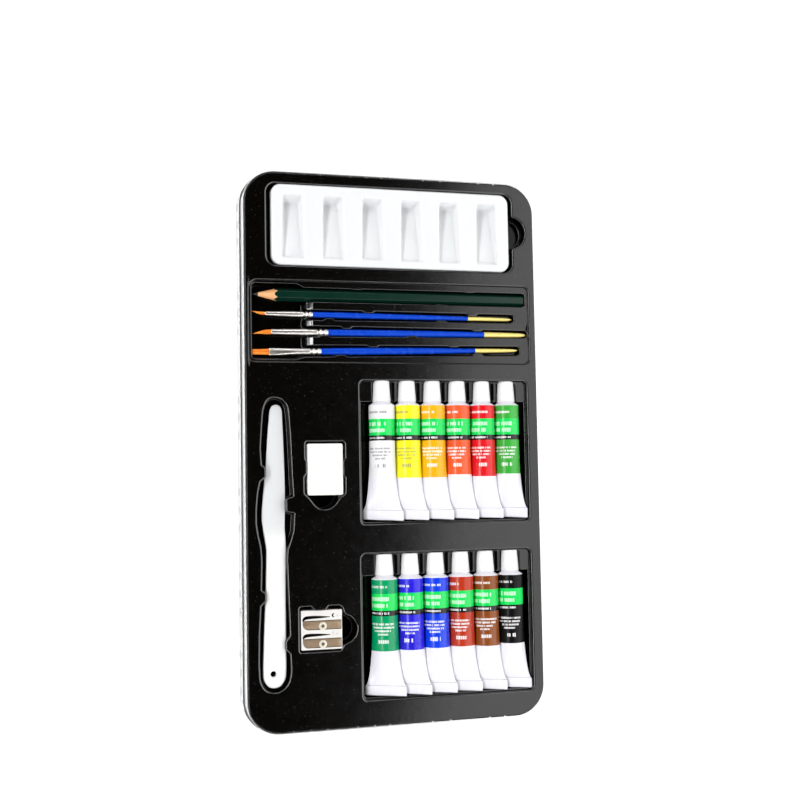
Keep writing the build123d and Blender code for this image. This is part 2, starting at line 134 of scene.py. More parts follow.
def normals(Q):
    a, b = np.roll(Q, 1, axis=0), np.roll(Q, -1, axis=0)
    e1 = Q - a
    e2 = b - Q
    e1 /= np.linalg.norm(e1, axis=1)[:, None]
    e2 /= np.linalg.norm(e2, axis=1)[:, None]
    n1 = np.c_[-e1[:, 1], e1[:, 0]]
    n2 = np.c_[-e2[:, 1], e2[:, 0]]
    n = n1 + n2
    n /= np.linalg.norm(n, axis=1)[:, None]
    m = 1.0 / np.clip((n * n1).sum(1), 0.5, 1)
    return n, m          # points into a counter-clockwise outline


def inset(Q, dist, start=None, step=0.16):
    """Points of the outline Q moved inward to the distance dist."""
    n, m = normals(Q)
    if abs(dist) < 1e-9:
        return Q.copy()
    if dist < 0:
        return Q + n * (m * dist)[:, None]
    if start is None:
        P = Q + n * (m * min(dist, 0.08))[:, None]
        base = min(dist, 0.08)
    else:
        P, base = start.copy(), None
        _, d0 = nearest(P, Q)
        base = float(np.median(d0))
    k = max(1, int(math.ceil((dist - base) / step)))
    for j in range(1, k + 1):
        tgt = base + (dist - base) * j / k
        C, d = nearest(P, Q)
        ok = d > 1e-7
        dirn = np.where(ok[:, None], (P - C) / np.maximum(d, 1e-7)[:, None], n)
        P = C + dirn * tgt
    return P


def profile(r_top, depth, draft, r_bot, n=5):
    """(inset, depth) pairs of a pocket's wall from its rounded edge to its floor."""
    out = []
    for j in range(n + 1):
        a = math.pi / 2 * j / n
        out.append((r_top * math.sin(a), r_top * (1 - math.cos(a))))
    if depth - r_bot > r_top + 1.5:
        out.append((r_top + draft * 0.5, (r_top + depth - r_bot) / 2))
    out.append((r_top + draft, depth - r_bot))
    for j in range(1, n + 1):
        a = math.pi / 2 * j / n
        out.append((r_top + draft + r_bot * (1 - math.cos(a)), depth - r_bot * (1 - math.sin(a))))
    return out


def inside(P, Q):
    """Whether the points P lie in the closed outline Q."""
    x, y = P[:, 0][:, None], P[:, 1][:, None]
    x1, y1 = Q[:, 0][None], Q[:, 1][None]
    x2, y2 = np.roll(Q[:, 0], -1)[None], np.roll(Q[:, 1], -1)[None]
    cond = (y1 > y) != (y2 > y)
    with np.errstate(divide="ignore", invalid="ignore"):
        xi = (x2 - x1) * (y - y1) / (y2 - y1) + x1
    return (np.sum(cond & (x < xi), axis=1) % 2) == 1


class Builder:
    """Collects vertices in mm and faces, then makes one mesh object."""

    def __init__(self):
        self.v, self.f, self.m, self.uv = [], [], [], []
        self.edge = None      # material of the rounded pocket edges

    def ring(self, P, z):
        z = np.broadcast_to(np.asarray(z, float), (len(P),))
        i0 = len(self.v)
        self.v += [(float(p[0]), float(p[1]), float(w)) for p, w in zip(P, z)]
        return list(range(i0, i0 + len(P)))

    def points(self, P3):
        i0 = len(self.v)
        self.v += [tuple(float(c) for c in p) for p in P3]
        return list(range(i0, i0 + len(P3)))

    def face(self, idx, mat=0, uv=None):
        self.f.append(tuple(idx))
        self.m.append(mat)
        self.uv.append(uv)

    def bridge(self, outer, inner, mat=0, flip=False):
        n = len(outer)
        for i in range(n):
            j = (i + 1) % n
            q = (outer[i], outer[j], inner[j], inner[i])
            self.face(q[::-1] if flip else q, mat)

    def fill(self, outer, holes=(), mat=0, flip=False, extra=None, zf=None):
        P = [np.array([self.v[i][:2] for i in outer])]
        idx = list(outer)
        edges = [(i, (i + 1) % len(outer)) for i in range(len(outer))]
        for h in holes:
            b = len(idx)
            idx += list(h)
            P.append(np.array([self.v[i][:2] for i in h]))
            edges += [(b + i, b + (i + 1) % len(h)) for i in range(len(h))]
        if extra is not None and len(extra):
            ok = inside(extra, P[0])
            for H in P[1:]:
                ok &= ~inside(extra, H)
            for Q in P:
                ok &= nearest(extra, Q)[1] > 0.35
            extra = extra[ok]
            idx += self.ring(extra, zf(extra))
        allp = np.array([self.v[i][:2] for i in idx])
        vs, es, fs, ov, oe, of_ = delaunay_2d_cdt([Vector((a, b)) for a, b in allp], edges, [], 0, 1e-7)
        back = [o[0] if o else -1 for o in ov]
        C = np.array([[sum(vs[i][0] for i in f) / 3, sum(vs[i][1] for i in f) / 3] for f in fs])
        ok = inside(C, P[0])
        for H in P[1:]:
            ok &= ~inside(C, H)
        for f, k in zip(fs, ok):
            if not k or any(back[i] < 0 for i in f):
                continue
            t = [idx[back[i]] for i in f]
            a, b, c = (self.v[i] for i in t)
            s = (b[0] - a[0]) * (c[1] - a[1]) - (c[0] - a[0]) * (b[1] - a[1])
            if abs(s) < 1e-9:
                continue
            if (s < 0) != flip:
                t = t[::-1]
            self.face(t, mat)

    def build(self, name, mats, body, nodes=(), smooth=True, solidify=None, weighted=True):
        me = bpy.data.meshes.new(name)
        me.from_pydata([(x * MM, y * MM, z * MM) for x, y, z in self.v], [], self.f)
        for m in mats:
            me.materials.append(m)
        me.polygons.foreach_set("material_index", self.m)
        me.polygons.foreach_set("use_smooth", [smooth] * len(me.polygons))
        if any(u is not None for u in self.uv):
            lay = me.uv_layers.new(name="UVMap")
            k = 0
            for u, f in zip(self.uv, self.f):
                for j in range(len(f)):
                    lay.data[k].uv = u[j] if u is not None else (0.0, 0.0)
                    k += 1
        me.update()
        ob = bpy.data.objects.new(name, me)
        bpy.context.collection.objects.link(ob)
        if solidify:
            s = ob.modifiers.new("thick", "SOLIDIFY")
            s.thickness = solidify * MM
            s.offset = -1.0
            s.use_even_offset = False
        if weighted:
            w = ob.modifiers.new("normals", "WEIGHTED_NORMAL")
            w.keep_sharp = True
            w.weight = 50
        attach(ob, body)
        if nodes:
            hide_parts(*nodes)
        return ob


def pocket(b, Q, prof, zf, mat=0, depth_of=None, shift=None, lip=0.14, ease=None):
    """Adds a pocket's edge, wall and the first ring of its floor. Returns the rim ring,
    the floor ring and the floor's outline."""
    lipring = b.ring(inset(Q, -lip), zf)
    prev = b.ring(Q, zf)
    b.bridge(lipring, prev, mat)
    P = None
    total, W = prof[-1][1], prof[-1][0]
    for ins, dep in prof[1:]:
        P = inset(Q, ins, P)
        Z = P.copy()
        if shift is not None:
            Z = Z + shift(Q) * (ease(dep / total) if ease else ins / W)
        if depth_of is not None:
            final = inset_final_depth(depth_of, Z)
            z = zf - final * (dep / total)
        else:
            z = zf - dep
        cur = b.ring(Z, z)
        b.bridge(prev, cur, b.edge if b.edge is not None and dep <= 1.001 else mat)
        prev = cur
    return lipring, prev, Z


def inset_final_depth(depth_of, Z):
    return np.array([depth_of(x, y) for x, y in Z])


# =====================================================================
# materials
# =====================================================================
TONE = 0.83          # the studio light is strong, so the paints are a little darker


class NodeKit:
    def __init__(self, name):
        self.mat = bpy.data.materials.new(name)
        self.mat.use_nodes = True
        self.t = self.mat.node_tree
        self.bsdf = self.t.nodes["Principled BSDF"]

    def node(self, kind, **kw):
        n = self.t.nodes.new(kind)
        for k, v in kw.items():
            setattr(n, k, v)
        return n

    def put(self, sock, val):
        if isinstance(val, bpy.types.NodeSocket):
            self.t.links.new(val, sock)
        else:
            sock.default_value = val

    def math(self, op, *a, clamp=False):
        n = self.node("ShaderNodeMath", operation=op)
        n.use_clamp = clamp
        for s, v in zip(n.inputs, a):
            self.put(s, v)
        return n.outputs[0]

    def mix(self, fac, a, b):
        n = self.node("ShaderNodeMix", data_type="RGBA")
        self.put(n.inputs[0], fac)
        self.put(n.inputs[6], a)
        self.put(n.inputs[7], b)
        return n.outputs[2]

    def noise(self, scale, detail=3.0, rough=0.5, vec=None, dim="3D"):
        n = self.node("ShaderNodeTexNoise", noise_dimensions=dim)
        n.inputs["Scale"].default_value = scale
        n.inputs["Detail"].default_value = detail
        n.inputs["Roughness"].default_value = rough
        if vec is not None:
            self.put(n.inputs["Vector"], vec)
        return n.outputs["Fac"]

    def ramp(self, fac, stops):
        n = self.node("ShaderNodeValToRGB")
        e = n.color_ramp.elements
        while len(e) < len(stops):
            e.new(0.5)
        for el, (p, c) in zip(e, stops):
            el.position = p
            el.color = c if len(c) == 4 else (*c, 1)
        self.put(n.inputs[0], fac)
        return n.outputs[0]

    def mrange(self, v, a, b, c, d):
        n = self.node("ShaderNodeMapRange")
        for s, x in zip(n.inputs, (v, a, b, c, d)):
            self.put(s, x)
        return n.outputs[0]

    def bump(self, height, strength, dist, normal=None):
        n = self.node("ShaderNodeBump")
        n.inputs["Strength"].default_value = strength
        n.inputs["Distance"].default_value = dist
        self.put(n.inputs["Height"], height)
        if normal is not None:
            self.put(n.inputs["Normal"], normal)
        return n.outputs[0]

    @property
    def obj(self):
        return self.node("ShaderNodeTexCoord").outputs["Object"]

    def set(self, **kw):
        names = {"color": "Base Color", "rough": "Roughness", "metal": "Metallic", "coat": "Coat Weight", "coat_rough": "Coat Roughness",
                 "spec": "Specular IOR Level", "normal": "Normal", "sss": "Subsurface Weight", "ior": "IOR", "sheen": "Sheen Weight", "trans": "Transmission Weight"}
        for k, v in kw.items():
            if isinstance(v, tuple) and len(v) == 3:
                v = (*v, 1.0)
            if k == "color" and kw.get("metal", 0) < 0.9:
                n = self.node("ShaderNodeMix", data_type="RGBA", blend_type="MULTIPLY")
                self.put(n.inputs[0], 1.0)
                self.put(n.inputs[6], v)
                self.put(n.inputs[7], (TONE, TONE, TONE, 1))
                v = n.outputs[2]
            self.put(self.bsdf.inputs[names[k]], v)
        return self.mat


def stretch(k, scale):
    m = k.node("ShaderNodeMapping")
    m.inputs["Scale"].default_value = scale
    k.t.links.new(k.obj, m.inputs["Vector"])
    return m.outputs[0]


def mat_tray(name="tray_plastic", spec=0.5):
    k = NodeKit(name)
    fine = k.noise(2600, 2, 0.6, k.obj)
    specks = k.noise(900, 1, 0.5, k.obj)
    dots = k.math("GREATER_THAN", specks, 0.735)
    cloud = k.noise(22, 3, 0.55, k.obj)
    base = k.mix(k.mrange(cloud, 0.3, 0.7, 0, 1), (0.0009, 0.0007, 0.0005, 1), (0.0016, 0.0013, 0.0010, 1))
    col = k.mix(k.math("MULTIPLY", dots, 0.5), base, (0.06, 0.055, 0.05, 1))
    rough = k.mrange(k.noise(140, 4, 0.6, k.obj), 0.3, 0.7, 0.125, 0.165)
    n1 = k.bump(fine, 0.10, 0.00006)
    n2 = k.bump(k.noise(330, 3, 0.5, k.obj), 0.08, 0.0002, n1)
    return k.set(color=col, rough=rough, normal=n2, spec=spec)


def mat_plain(name, col, rough=0.35, var=0.06, scale=60, bump=0.04, bscale=900, spec=0.5, coat=0.0, metal=0.0, sss=0.0):
    k = NodeKit(name)
    f = k.mrange(k.noise(scale, 4, 0.55, k.obj), 0.3, 0.7, 0, 1)
    dark = tuple(c * (1 - var) for c in col)
    light = tuple(min(1, c * (1 + var)) for c in col)
    c = k.mix(f, (*dark, 1), (*light, 1))
    r = k.mrange(k.noise(scale * 3, 3, 0.5, k.obj), 0.3, 0.7, rough * 0.85, rough * 1.15)
    n = k.bump(k.noise(bscale, 3, 0.55, k.obj), bump, 0.0001)
    return k.set(color=c, rough=r, normal=n, spec=spec, coat=coat, metal=metal, sss=sss)


def mat_knife():
    k = NodeKit("knife_plastic")
    # The blade end is painted a cooler, darker grey than the handle: partly the thin blade's own tone, partly painted
    # shade for the dark pocket seen through the thin plastic.
    sp_ = k.node("ShaderNodeSeparateXYZ")
    k.t.links.new(k.obj, sp_.inputs[0])
    f = k.mrange(sp_.outputs[1], -0.056, -0.044, 0, 1)
    v = k.mrange(k.noise(30, 3, 0.5, k.obj), 0.3, 0.7, 0, 1)
    c = k.mix(v, (0.86, 0.86, 0.85, 1), (0.90, 0.90, 0.89, 1))
    c = k.mix(f, c, (0.73, 0.745, 0.755, 1))
    return k.set(color=c, rough=k.mrange(k.noise(200, 3, 0.5, k.obj), 0.3, 0.7, 0.3, 0.4), normal=k.bump(k.noise(900, 3, 0.5, k.obj), 0.05, 0.0001))


def mat_tin():
    k = NodeKit("tin_plate")
    cloud = k.noise(14, 2, 0.5, k.obj)
    col = k.mix(k.mrange(cloud, 0.3, 0.7, 0, 1), (0.60, 0.60, 0.605, 1), (0.635, 0.635, 0.635, 1))
    rough = k.mrange(k.noise(40, 2, 0.5, k.obj), 0.3, 0.7, 0.19, 0.25)
    k.put(k.bsdf.inputs["Base Color"], col)
    return k.set(rough=rough, metal=0.85, normal=k.bump(k.noise(220, 1, 0.5, k.obj), 0.015, 0.00005))


# =====================================================================
# tray
# =====================================================================
def nub_pts(pts, x, s, wall, tip, w=7.2):
    return [(x - w / 2, wall, 0.5), (x - w / 2 + 1.5, tip, 0.7), (x + w / 2 - 1.5, tip, 0.7), (x + w / 2, wall, 0.5)]


def build_tray(M):
    b = Builder()
    b.edge = 2
    # ---- outer edge and skirt, with the small notches at the rim's stakes
    hx, hy = 93.1, 167.5
    stakes = (-66.0, -55.7, -45.6, -26.9, -16.5, -7.0, 20.0, 31.5, 57.0, 67.0)
    xs_ = sorted(set([round(c + d_, 3) for c in stakes for d_ in (-1.1, -0.85, -0.6, -0.4, -0.2, 0.0, 0.2, 0.4, 0.6, 0.85, 1.1)] + [float(v) for v in np.arange(-72.0, 73.0, 3.0) if min(abs(v - c) for c in stakes) > 1.4]))
    ys_ = [float(v) for v in np.arange(-144.0, 145.0, 4.0)]

    def corner(cx, cy, a0):
        return [(cx + 19.0 * math.cos(math.radians(a0 + 4.5 * j)), cy + 19.0 * math.sin(math.radians(a0 + 4.5 * j))) for j in range(21)]
    Q = np.array(corner(-hx + 19, -hy + 19, 180) + [(x, -hy) for x in xs_] + corner(hx - 19, -hy + 19, 270) + [(hx, y) for y in ys_]
                 + corner(hx - 19, hy - 19, 0) + [(x, hy) for x in reversed(xs_)] + corner(-hx + 19, hy - 19, 90) + [(-hx, y) for y in reversed(ys_)])
    near_end = np.abs(np.abs(Q[:, 1]) - hy) < 1e-6
    dip = np.zeros(len(Q))
    for c in stakes:
        u_ = np.abs(Q[:, 0] - c)
        dip = np.maximum(dip, np.where(near_end & (u_ < 1.0), 0.5 + 0.5 * np.cos(math.pi * np.clip(u_, 0, 1.0)), 0.0))
    flat = rrect(-hx + 2.4, hx - 2.4, -hy + 2.4, hy - 2.4, 16.6, 6.0, 5.0)
    outer = b.ring(flat, ZF)
    r = 0.8
    seq = []
    n, m = normals(Q)
    for j in range(6):
        a = math.pi / 2 * j / 5
        seq.append((r * (1 - math.sin(a)), ZF - r * (1 - math.cos(a))))
    seq.append((0.25, ZF - 12))
    seq.append((0.47, 0.95))

    def edge(ins):
        return Q + n * (m * ins + 0.5 * dip * max(0.0, 1 - ins / 1.3))[:, None]
    lip = b.ring(edge(1.3), ZF)
    b.fill(lip, [outer])
    prev = lip
    for ins, z in seq:
        cur = b.ring(edge(ins), z)
        b.bridge(cur, prev)
        prev = cur
    holes = []

    # ---- palette pocket with its finger notch
    pts = [(-80.5, 109.5, 7.0), (79.8, 109.5, 7.0), (79.8, 125.6, 0.9)]
    for a in range(-66, 67, 12):
        pts.append((79.4 + 9.4 * math.cos(math.radians(a)), 136.5 + 10.6 * math.sin(math.radians(a)), 3.0))
    pts += [(79.8, 147.4, 0.9), (79.8, 162.0, 7.0), (-80.5, 162.0, 7.0)]
    Qp = outline(pts, 5.0)
    rim, fl, _ = pocket(b, Qp, profile(1.0, 8.7, 0.3, 1.0), ZF)
    b.fill(fl, mat=1)
    holes.append(rim)

    # ---- knife pocket
    K = [(-83.2, 24.0, 30), (-84.0, 15.0, 30), (-85.0, 0.0, 30), (-84.4, -10.2, 1.0), (-82.1, -12.0, 1.0), (-82.1, -16.8, 1.0), (-85.3, -19.3, 1.0), (-86.8, -26.0, 30),
         (-87.7, -36.0, 30), (-87.8, -45.0, 20), (-86.7, -52.0, 20), (-85.2, -58.5, 20), (-84.6, -66.0, 30), (-85.1, -84.2, 1.0), (-82.4, -86.0, 1.0), (-82.4, -90.0, 1.0),
         (-85.5, -92.8, 1.0), (-86.5, -110.0, 40), (-86.8, -128.0, 30), (-86.3, -137.5, 12), (-83.6, -142.6, 8), (-78.0, -145.3, 9), (-72.0, -144.0, 9), (-67.6, -139.0, 10),
         (-66.4, -132.0, 20), (-66.9, -121.5, 1.0), (-69.6, -118.6, 1.0), (-69.6, -114.8, 1.0), (-66.9, -111.2, 1.0), (-67.2, -100.0, 40), (-67.9, -80.0, 40), (-68.3, -66.0, 20),
         (-67.9, -60.5, 8), (-66.0, -55.5, 12), (-64.2, -49.5, 15), (-63.5, -38.3, 1.0), (-68.5, -37.2, 1.0), (-68.5, -31.0, 1.0), (-64.0, -29.3, 1.0), (-64.6, -20.0, 30),
         (-65.2, -5.0, 40), (-65.7, 8.0, 40), (-66.4, 19.0, 30), (-67.3, 26.0, 8), (-70.3, 30.2, 7), (-76.0, 31.6, 7), (-80.8, 29.6, 6)]
    rim, fl, _ = pocket(b, outline(K, 4.0, 7.0), profile(1.0, 6.3, 0.15, 0.8), ZF)
    b.fill(fl, mat=1)
    holes.append(rim)

    # ---- eraser pocket
    E = [(-58.0, 4.8, 2.5), (-58.0, -6.6, 0.8), (-57.0, -8.2, 0.8), (-57.0, -15.0, 0.8), (-58.7, -17.2, 0.8), (-58.7, -27.5, 3.0), (-55.2, -31.0, 3.0), (-52.0, -35.2, 4.0), (-49.0, -37.4, 4.0),
         (-45.5, -38.1, 5.0), (-42.0, -37.4, 4.0), (-38.4, -35.0, 4.0), (-35.6, -30.8, 3.0), (-32.0, -28.4, 2.5), (-31.8, -17.6, 0.8), (-33.2, -15.8, 0.8), (-33.2, -8.6, 0.8), (-31.8, -6.6, 0.8), (-31.8, 4.8, 2.5)]
    rim, fl, _ = pocket(b, outline(E, 4.0), profile(1.0, 11.4, 0.3, 1.0), ZF)
    b.fill(fl, mat=1)
    holes.append(rim)

    # ---- sharpener pocket
    S = [(-62.8, -93.7, 2.5), (-62.8, -122.5, 2.5), (-36.6, -122.5, 2.2), (-34.3, -119.0, 1.2), (-29.2, -116.4, 3.0), (-26.6, -113.4, 4.0), (-25.6, -109.5, 5.0), (-25.8, -106.5, 4.0), (-27.6, -103.2, 4.0),
         (-30.2, -100.6, 3.0), (-33.6, -99.3, 1.2), (-34.8, -95.4, 1.8), (-37.0, -93.7, 1.5), (-44.2, -93.7, 1.2), (-46.4, -96.3, 1.0), (-52.2, -96.3, 1.0), (-54.2, -93.7, 1.2)]
    rim, fl, _ = pocket(b, outline(S, 4.0), profile(1.0, 11.6, 0.3, 1.0), ZF)
    b.fill(fl, mat=1)
    holes.append(rim)

    # ---- tube pockets, with ribs between the caps
    for (x0, x1, y0, y1, rr_), row in zip(((-23.9, 87.5, -47.7, 42.0, 3.8), (-24.4, 87.6, -153.2, -63.6, 4.2)), (41.1, -64.95)):
        Qt = rrect(x0, x1, y0, y1, rr_, 5.0)
        prof = []
        for j in range(6):
            a = math.pi / 2 * j / 5
            prof.append((0.9 * math.sin(a), 0.9 * (1 - math.cos(a))))
        prof.append((0.98, 2.6))
        for j in range(1, 4):
            a = math.pi / 2 * j / 3
            prof.append((0.98 + 0.4 * (1 - math.cos(a)), 2.6 + 0.4 * math.sin(a)))
        rim, shelf, _ = pocket(b, Qt, prof, ZF)
        holes.append(rim)
        g = 1.66
        xl, xr, yb, yt = x0 + g, x1 - g, y0 + g, y1 - g
        tip = row - 13.0 + 0.5
        xs = [-8.3 + 16.37 * k for k in range(6)]
        h = 6.6
        C = [(xl, yb, 2.6), (xr, yb, 2.6), (xr, tip, 0.9), (xs[5] + h, tip, 1.0), (xs[5] + h, yt, 0.8)]
        for k in range(5, 0, -1):
            C += [(xs[k] - h, yt, 0.8), (xs[k] - h, tip, 1.1), (xs[k - 1] + h, tip, 1.1), (xs[k - 1] + h, yt, 0.8)]
        C += [(xs[0] - h, yt, 0.8), (xs[0] - h, tip, 1.0), (xl, tip, 0.9)]
        Qr = outline(C, 4.0)
        ribs = [xs[k] + 8.185 for k in range(5)]

        def on_rib(x, y, ribs=ribs, tip=tip):
            d = min(abs(x - c) for c in ribs)
            return (1.0 if d < 2.9 else 0.0) * min(1.0, max(0.0, (y - tip + 0.4) / 1.2))
        drop = np.array([0.75 * on_rib(x, y) for x, y in Qr])
        rim2, fl, _ = pocket(b, Qr, profile(0.55, 9.4, 0.35, 0.9, 4), ZF - 3.0 - drop, lip=0.1, depth_of=lambda x, y: 9.4 - 0.75 * on_rib(x, y))
        ridge = np.array([(c, y) for c in ribs for y in np.arange(tip + 1.1, yt + 0.9, 1.0)])
        b.fill(shelf, [rim2], extra=ridge, zf=lambda E_: np.full(len(E_), ZF - 2.95))
        b.fill(fl, mat=1)

    # ---- brush recess: a step, then the channels and the deep well for the tips
    Rp = [(-91.6, 51.4, 4.5), (89.8, 51.4, 4.5), (89.8, 102.4, 4.0), (-91.6, 102.4, 7.0)]
    rim, land, _ = pocket(b, outline(Rp, 5.0), profile(0.72, 1.5, 0.08, 0.4, 4), ZF)
    holes.append(rim)
    C = [(-89.3, 53.2, 3.0), (-61.5, 53.2, 1.5), (-57.0, 54.75, 2.0)]

    def wall(l, r_, x1, x):
        return l + (r_ - l) * (x + 60.5) / (x1 + 60.5)

    def run(key, near, far, spots_near, spots_far, x1, first=False, last=False):
        (n0, n1), (f0, f1) = near, far
        pts = []
        for x, tip in spots_near:
            w = wall(n0, n1, x1, x)
            pts += [(x - 3.7, w, 0.6), (x - 2.1, tip, 0.8), (x + 2.1, tip, 0.8), (x + 3.7, w, 0.6)]
        rr2 = (f1 - n1) / 2 * (0.55 if key == "pencil" else 0.98)
        pts += [(x1, n1, rr2), (x1, f1, rr2)]
        for x, tip in reversed(spots_far):
            w = wall(f0, f1, x1, x)
            pts += [(x + 3.7, w, 0.6), (x + 2.1, tip, 0.8), (x - 2.1, tip, 0.8), (x - 3.7, w, 0.6)]
        return pts

    XL = -51.2
    C += run("b3", (54.65, 57.2), (62.9, 64.0), ((-33.8, 56.3), (54.6, 58.4)), ((-13.5, 62.2), (38.6, 63.0)), 83.6)
    C += [(XL, wall(62.9, 64.0, 83.6, XL), 0.5), (XL, wall(67.0, 68.5, 89.0, XL), 0.5)]
    C += run("b2", (67.0, 68.5), (74.8, 74.2), ((-44.0, 68.1), (11.6, 68.7)), ((-30.2, 73.4), (54.6, 73.3)), 89.0)
    C += [(XL, 74.8, 0.5), (XL, 77.25, 0.5)]
    C += run("b1", (77.2, 77.9), (84.7, 84.3), ((-41.0, 78.6), (31.0, 78.7)), ((-16.0, 83.3), (51.5, 83.0)), 80.1)
    C += [(XL, 84.7, 0.5), (XL, 88.6, 0.5)]
    C += run("pencil", (88.6, 88.6), (97.95, 97.95), ((31.0, 89.0),), ((-23.2, 97.55), (49.8, 97.55)), 87.7)
    C += [(-56.5, 97.95, 2.0), (-60.8, 100.2, 1.5), (-89.3, 100.2, 3.0)]
    Qc = outline(C, 3.5, 12.0)
    bands = ((53.0, 64.6, 5.9), (65.2, 75.6, 5.9), (76.2, 86.0, 5.5), (87.0, 100.5, 8.3))

    def depth_of(x, y):
        d = 5.9
        for lo, hi, dd in bands:
            if lo - 1.2 <= y <= hi + 1.2:
                d = dd
        f = min(1.0, max(0.0, (-52.5 - x) / 6.0))
        f = f * f * (3 - 2 * f)
        return (d + (8.6 - d) * f) - 1.5

    fingers = ((62.2, 68.2), (74.1, 78.0), (84.0, 89.2))

    def shift(Q):
        out = np.zeros_like(Q)
        for i, (x, y) in enumerate(Q):
            if any(lo <= y <= hi for lo, hi in fingers) and x < XL + 18 and x > XL - 1.5:
                out[i, 0] = -4.6 * min(1.0, max(0.0, 1 - (x - XL) / 18.0))
        return out

    def nose(f):
        # a flat facet at the top of the land's end, steep below
        return float(np.interp(f, (0, 0.034, 0.072, 0.12, 0.2, 0.27, 0.36, 0.40, 0.46, 0.58, 0.7, 0.84, 1.0), (0, 0, 0.03, 0.116, 0.258, 0.389, 0.598, 0.742, 0.775, 0.82, 0.87, 0.93, 1.0)))

    wallp = [(0.0, 0.0), (0.2, 0.05), (0.38, 0.17), (0.52, 0.36), (0.6, 0.6)]
    wallp += [(0.6 + 0.35 * (d_ - 0.6) / 3.6, d_) for d_ in (1.0, 1.35, 1.8, 2.0, 2.3, 2.9, 3.5, 4.2)]
    for j in range(1, 5):
        a_ = math.pi / 2 * j / 4
        wallp.append((0.95 + 0.8 * (1 - math.cos(a_)), 5.0 - 0.8 * (1 - math.sin(a_))))
    rim2, fl, Z = pocket(b, Qc, wallp, ZF - 1.5, depth_of=depth_of, shift=shift, lip=0.1, ease=nose)
    b.fill(land, [rim2])
    gx = np.arange(-88.0, 86.0, 2.0)
    extra = np.array([(x, y) for x in np.arange(-88, -50, 1.6) for y in np.arange(54, 100, 1.6)])
    b.fill(fl, mat=1, extra=extra, zf=lambda E_: np.array([ZF - 1.5 - depth_of(x, y) for x, y in E_]))

    b.fill(outer, holes)
    return b.build("tray_sheet", [M["tray"], M["tray_deep"], M["tray_edge"]], "base", ["tray"], solidify=0.5)


# =====================================================================
# palette
# =====================================================================
def trap(x, y0, y1, w0, w1, r, n=7, m=7):
    """Rounded trapezoid with a fixed number of points, counter-clockwise."""
    C = [(x - w0, y0), (x + w0, y0), (x + w1, y1), (x - w1, y1)]
    P = []
    for i in range(4):
        c, p, q = (np.array(C[k], float) for k in (i, i - 1, (i + 1) % 4))
        u, v = (p - c) / np.linalg.norm(p - c), (q - c) / np.linalg.norm(q - c)
        ang = math.acos(float(np.dot(u, v)))
        t = r / math.tan(ang / 2)
        s0, e0 = c + u * t, c + v * t
        bis = (u + v) / np.linalg.norm(u + v)
        o = c + bis * (r / math.sin(ang / 2))
        a0 = math.atan2(*(s0 - o)[::-1])
        a1 = math.atan2(*(e0 - o)[::-1])
        d = (a1 - a0 + math.pi) % (2 * math.pi) - math.pi
        for j in range(n + 1):
            w = a0 + d * j / n
            P.append(o + r * np.array([math.cos(w), math.sin(w)]))
        nx = (np.array(C[(i + 1) % 4], float) - c)
        nl = np.linalg.norm(nx)
        nx = nx / nl
        last = e0
        end = np.array(C[(i + 1) % 4], float) - nx * t
        for j in range(1, m):
            P.append(last + (end - last) * j / m)
    return np.array(P)


def well(b, x, deep):
    """A well with soft edges, a leaning wall at its deep end and a rounded floor."""
    A = trap(x, 114.8, 155.2, 7.9, 6.65, 2.0)
    F = trap(x, 117.2, 150.2, 5.3, 3.9, 1.2)
    lip = b.ring(trap(x, 114.5, 155.5, 8.15, 6.9, 2.2), ZF)
    prev = b.ring(A, ZF)
    b.bridge(lip, prev)
    steps = 20
    for j in range(1, steps + 1):
        t = j / steps
        P = A + (F - A) * t
        full = np.array([deep(u, v) for u, v in F])
        f = t * t * (3 - 2 * t)
        cur = b.ring(P, ZF - full * f)
        b.bridge(prev, cur)
        prev = cur
    return lip, prev, F


def build_palette(M):
    b = Builder()
    px, py, w, l = 0.1, 135.85, 153.4 / 2, 49.8 / 2
    Q = rrect(px - w, px + w, py - l, py + l, 6.2, 5.0)
    n, m = normals(Q)
    r = 1.5
    lip = b.ring(Q + n * (m * (r + 0.2))[:, None], ZF)
    prev = lip
    for j in range(7):
        a = math.pi / 2 * j / 6
        cur = b.ring(Q + n * (m * (r * (1 - math.sin(a))))[:, None], ZF - r * (1 - math.cos(a)))
        b.bridge(cur, prev)
        prev = cur
    cur = b.ring(Q, ZF - 8.5)
    b.bridge(cur, prev)
    holes = []
    y0, y1 = 117.2, 150.2

    def deep(y):
        return 2.6 + (7.0 - 2.6) * min(1.0, max(0.0, (y - y0) / (y1 - y0)))

    for k in range(6):
        x = px - 0.8 + (k - 2.5) * 25.0
        rim, fl, Z = well(b, x, lambda x_, y_: deep(y_))
        b.fill(fl, extra=np.array([(x + i * 1.6, yy) for i in range(-3, 4) for yy in np.arange(y0, y1, 2.5)]), zf=lambda E_: np.array([ZF - deep(y_) for _, y_ in E_]))
        holes.append(rim)
    b.fill(lip, holes)
    return b.build("palette_moulding", [M["palette"]], "palette", ["palette"], solidify=1.2, weighted=False)


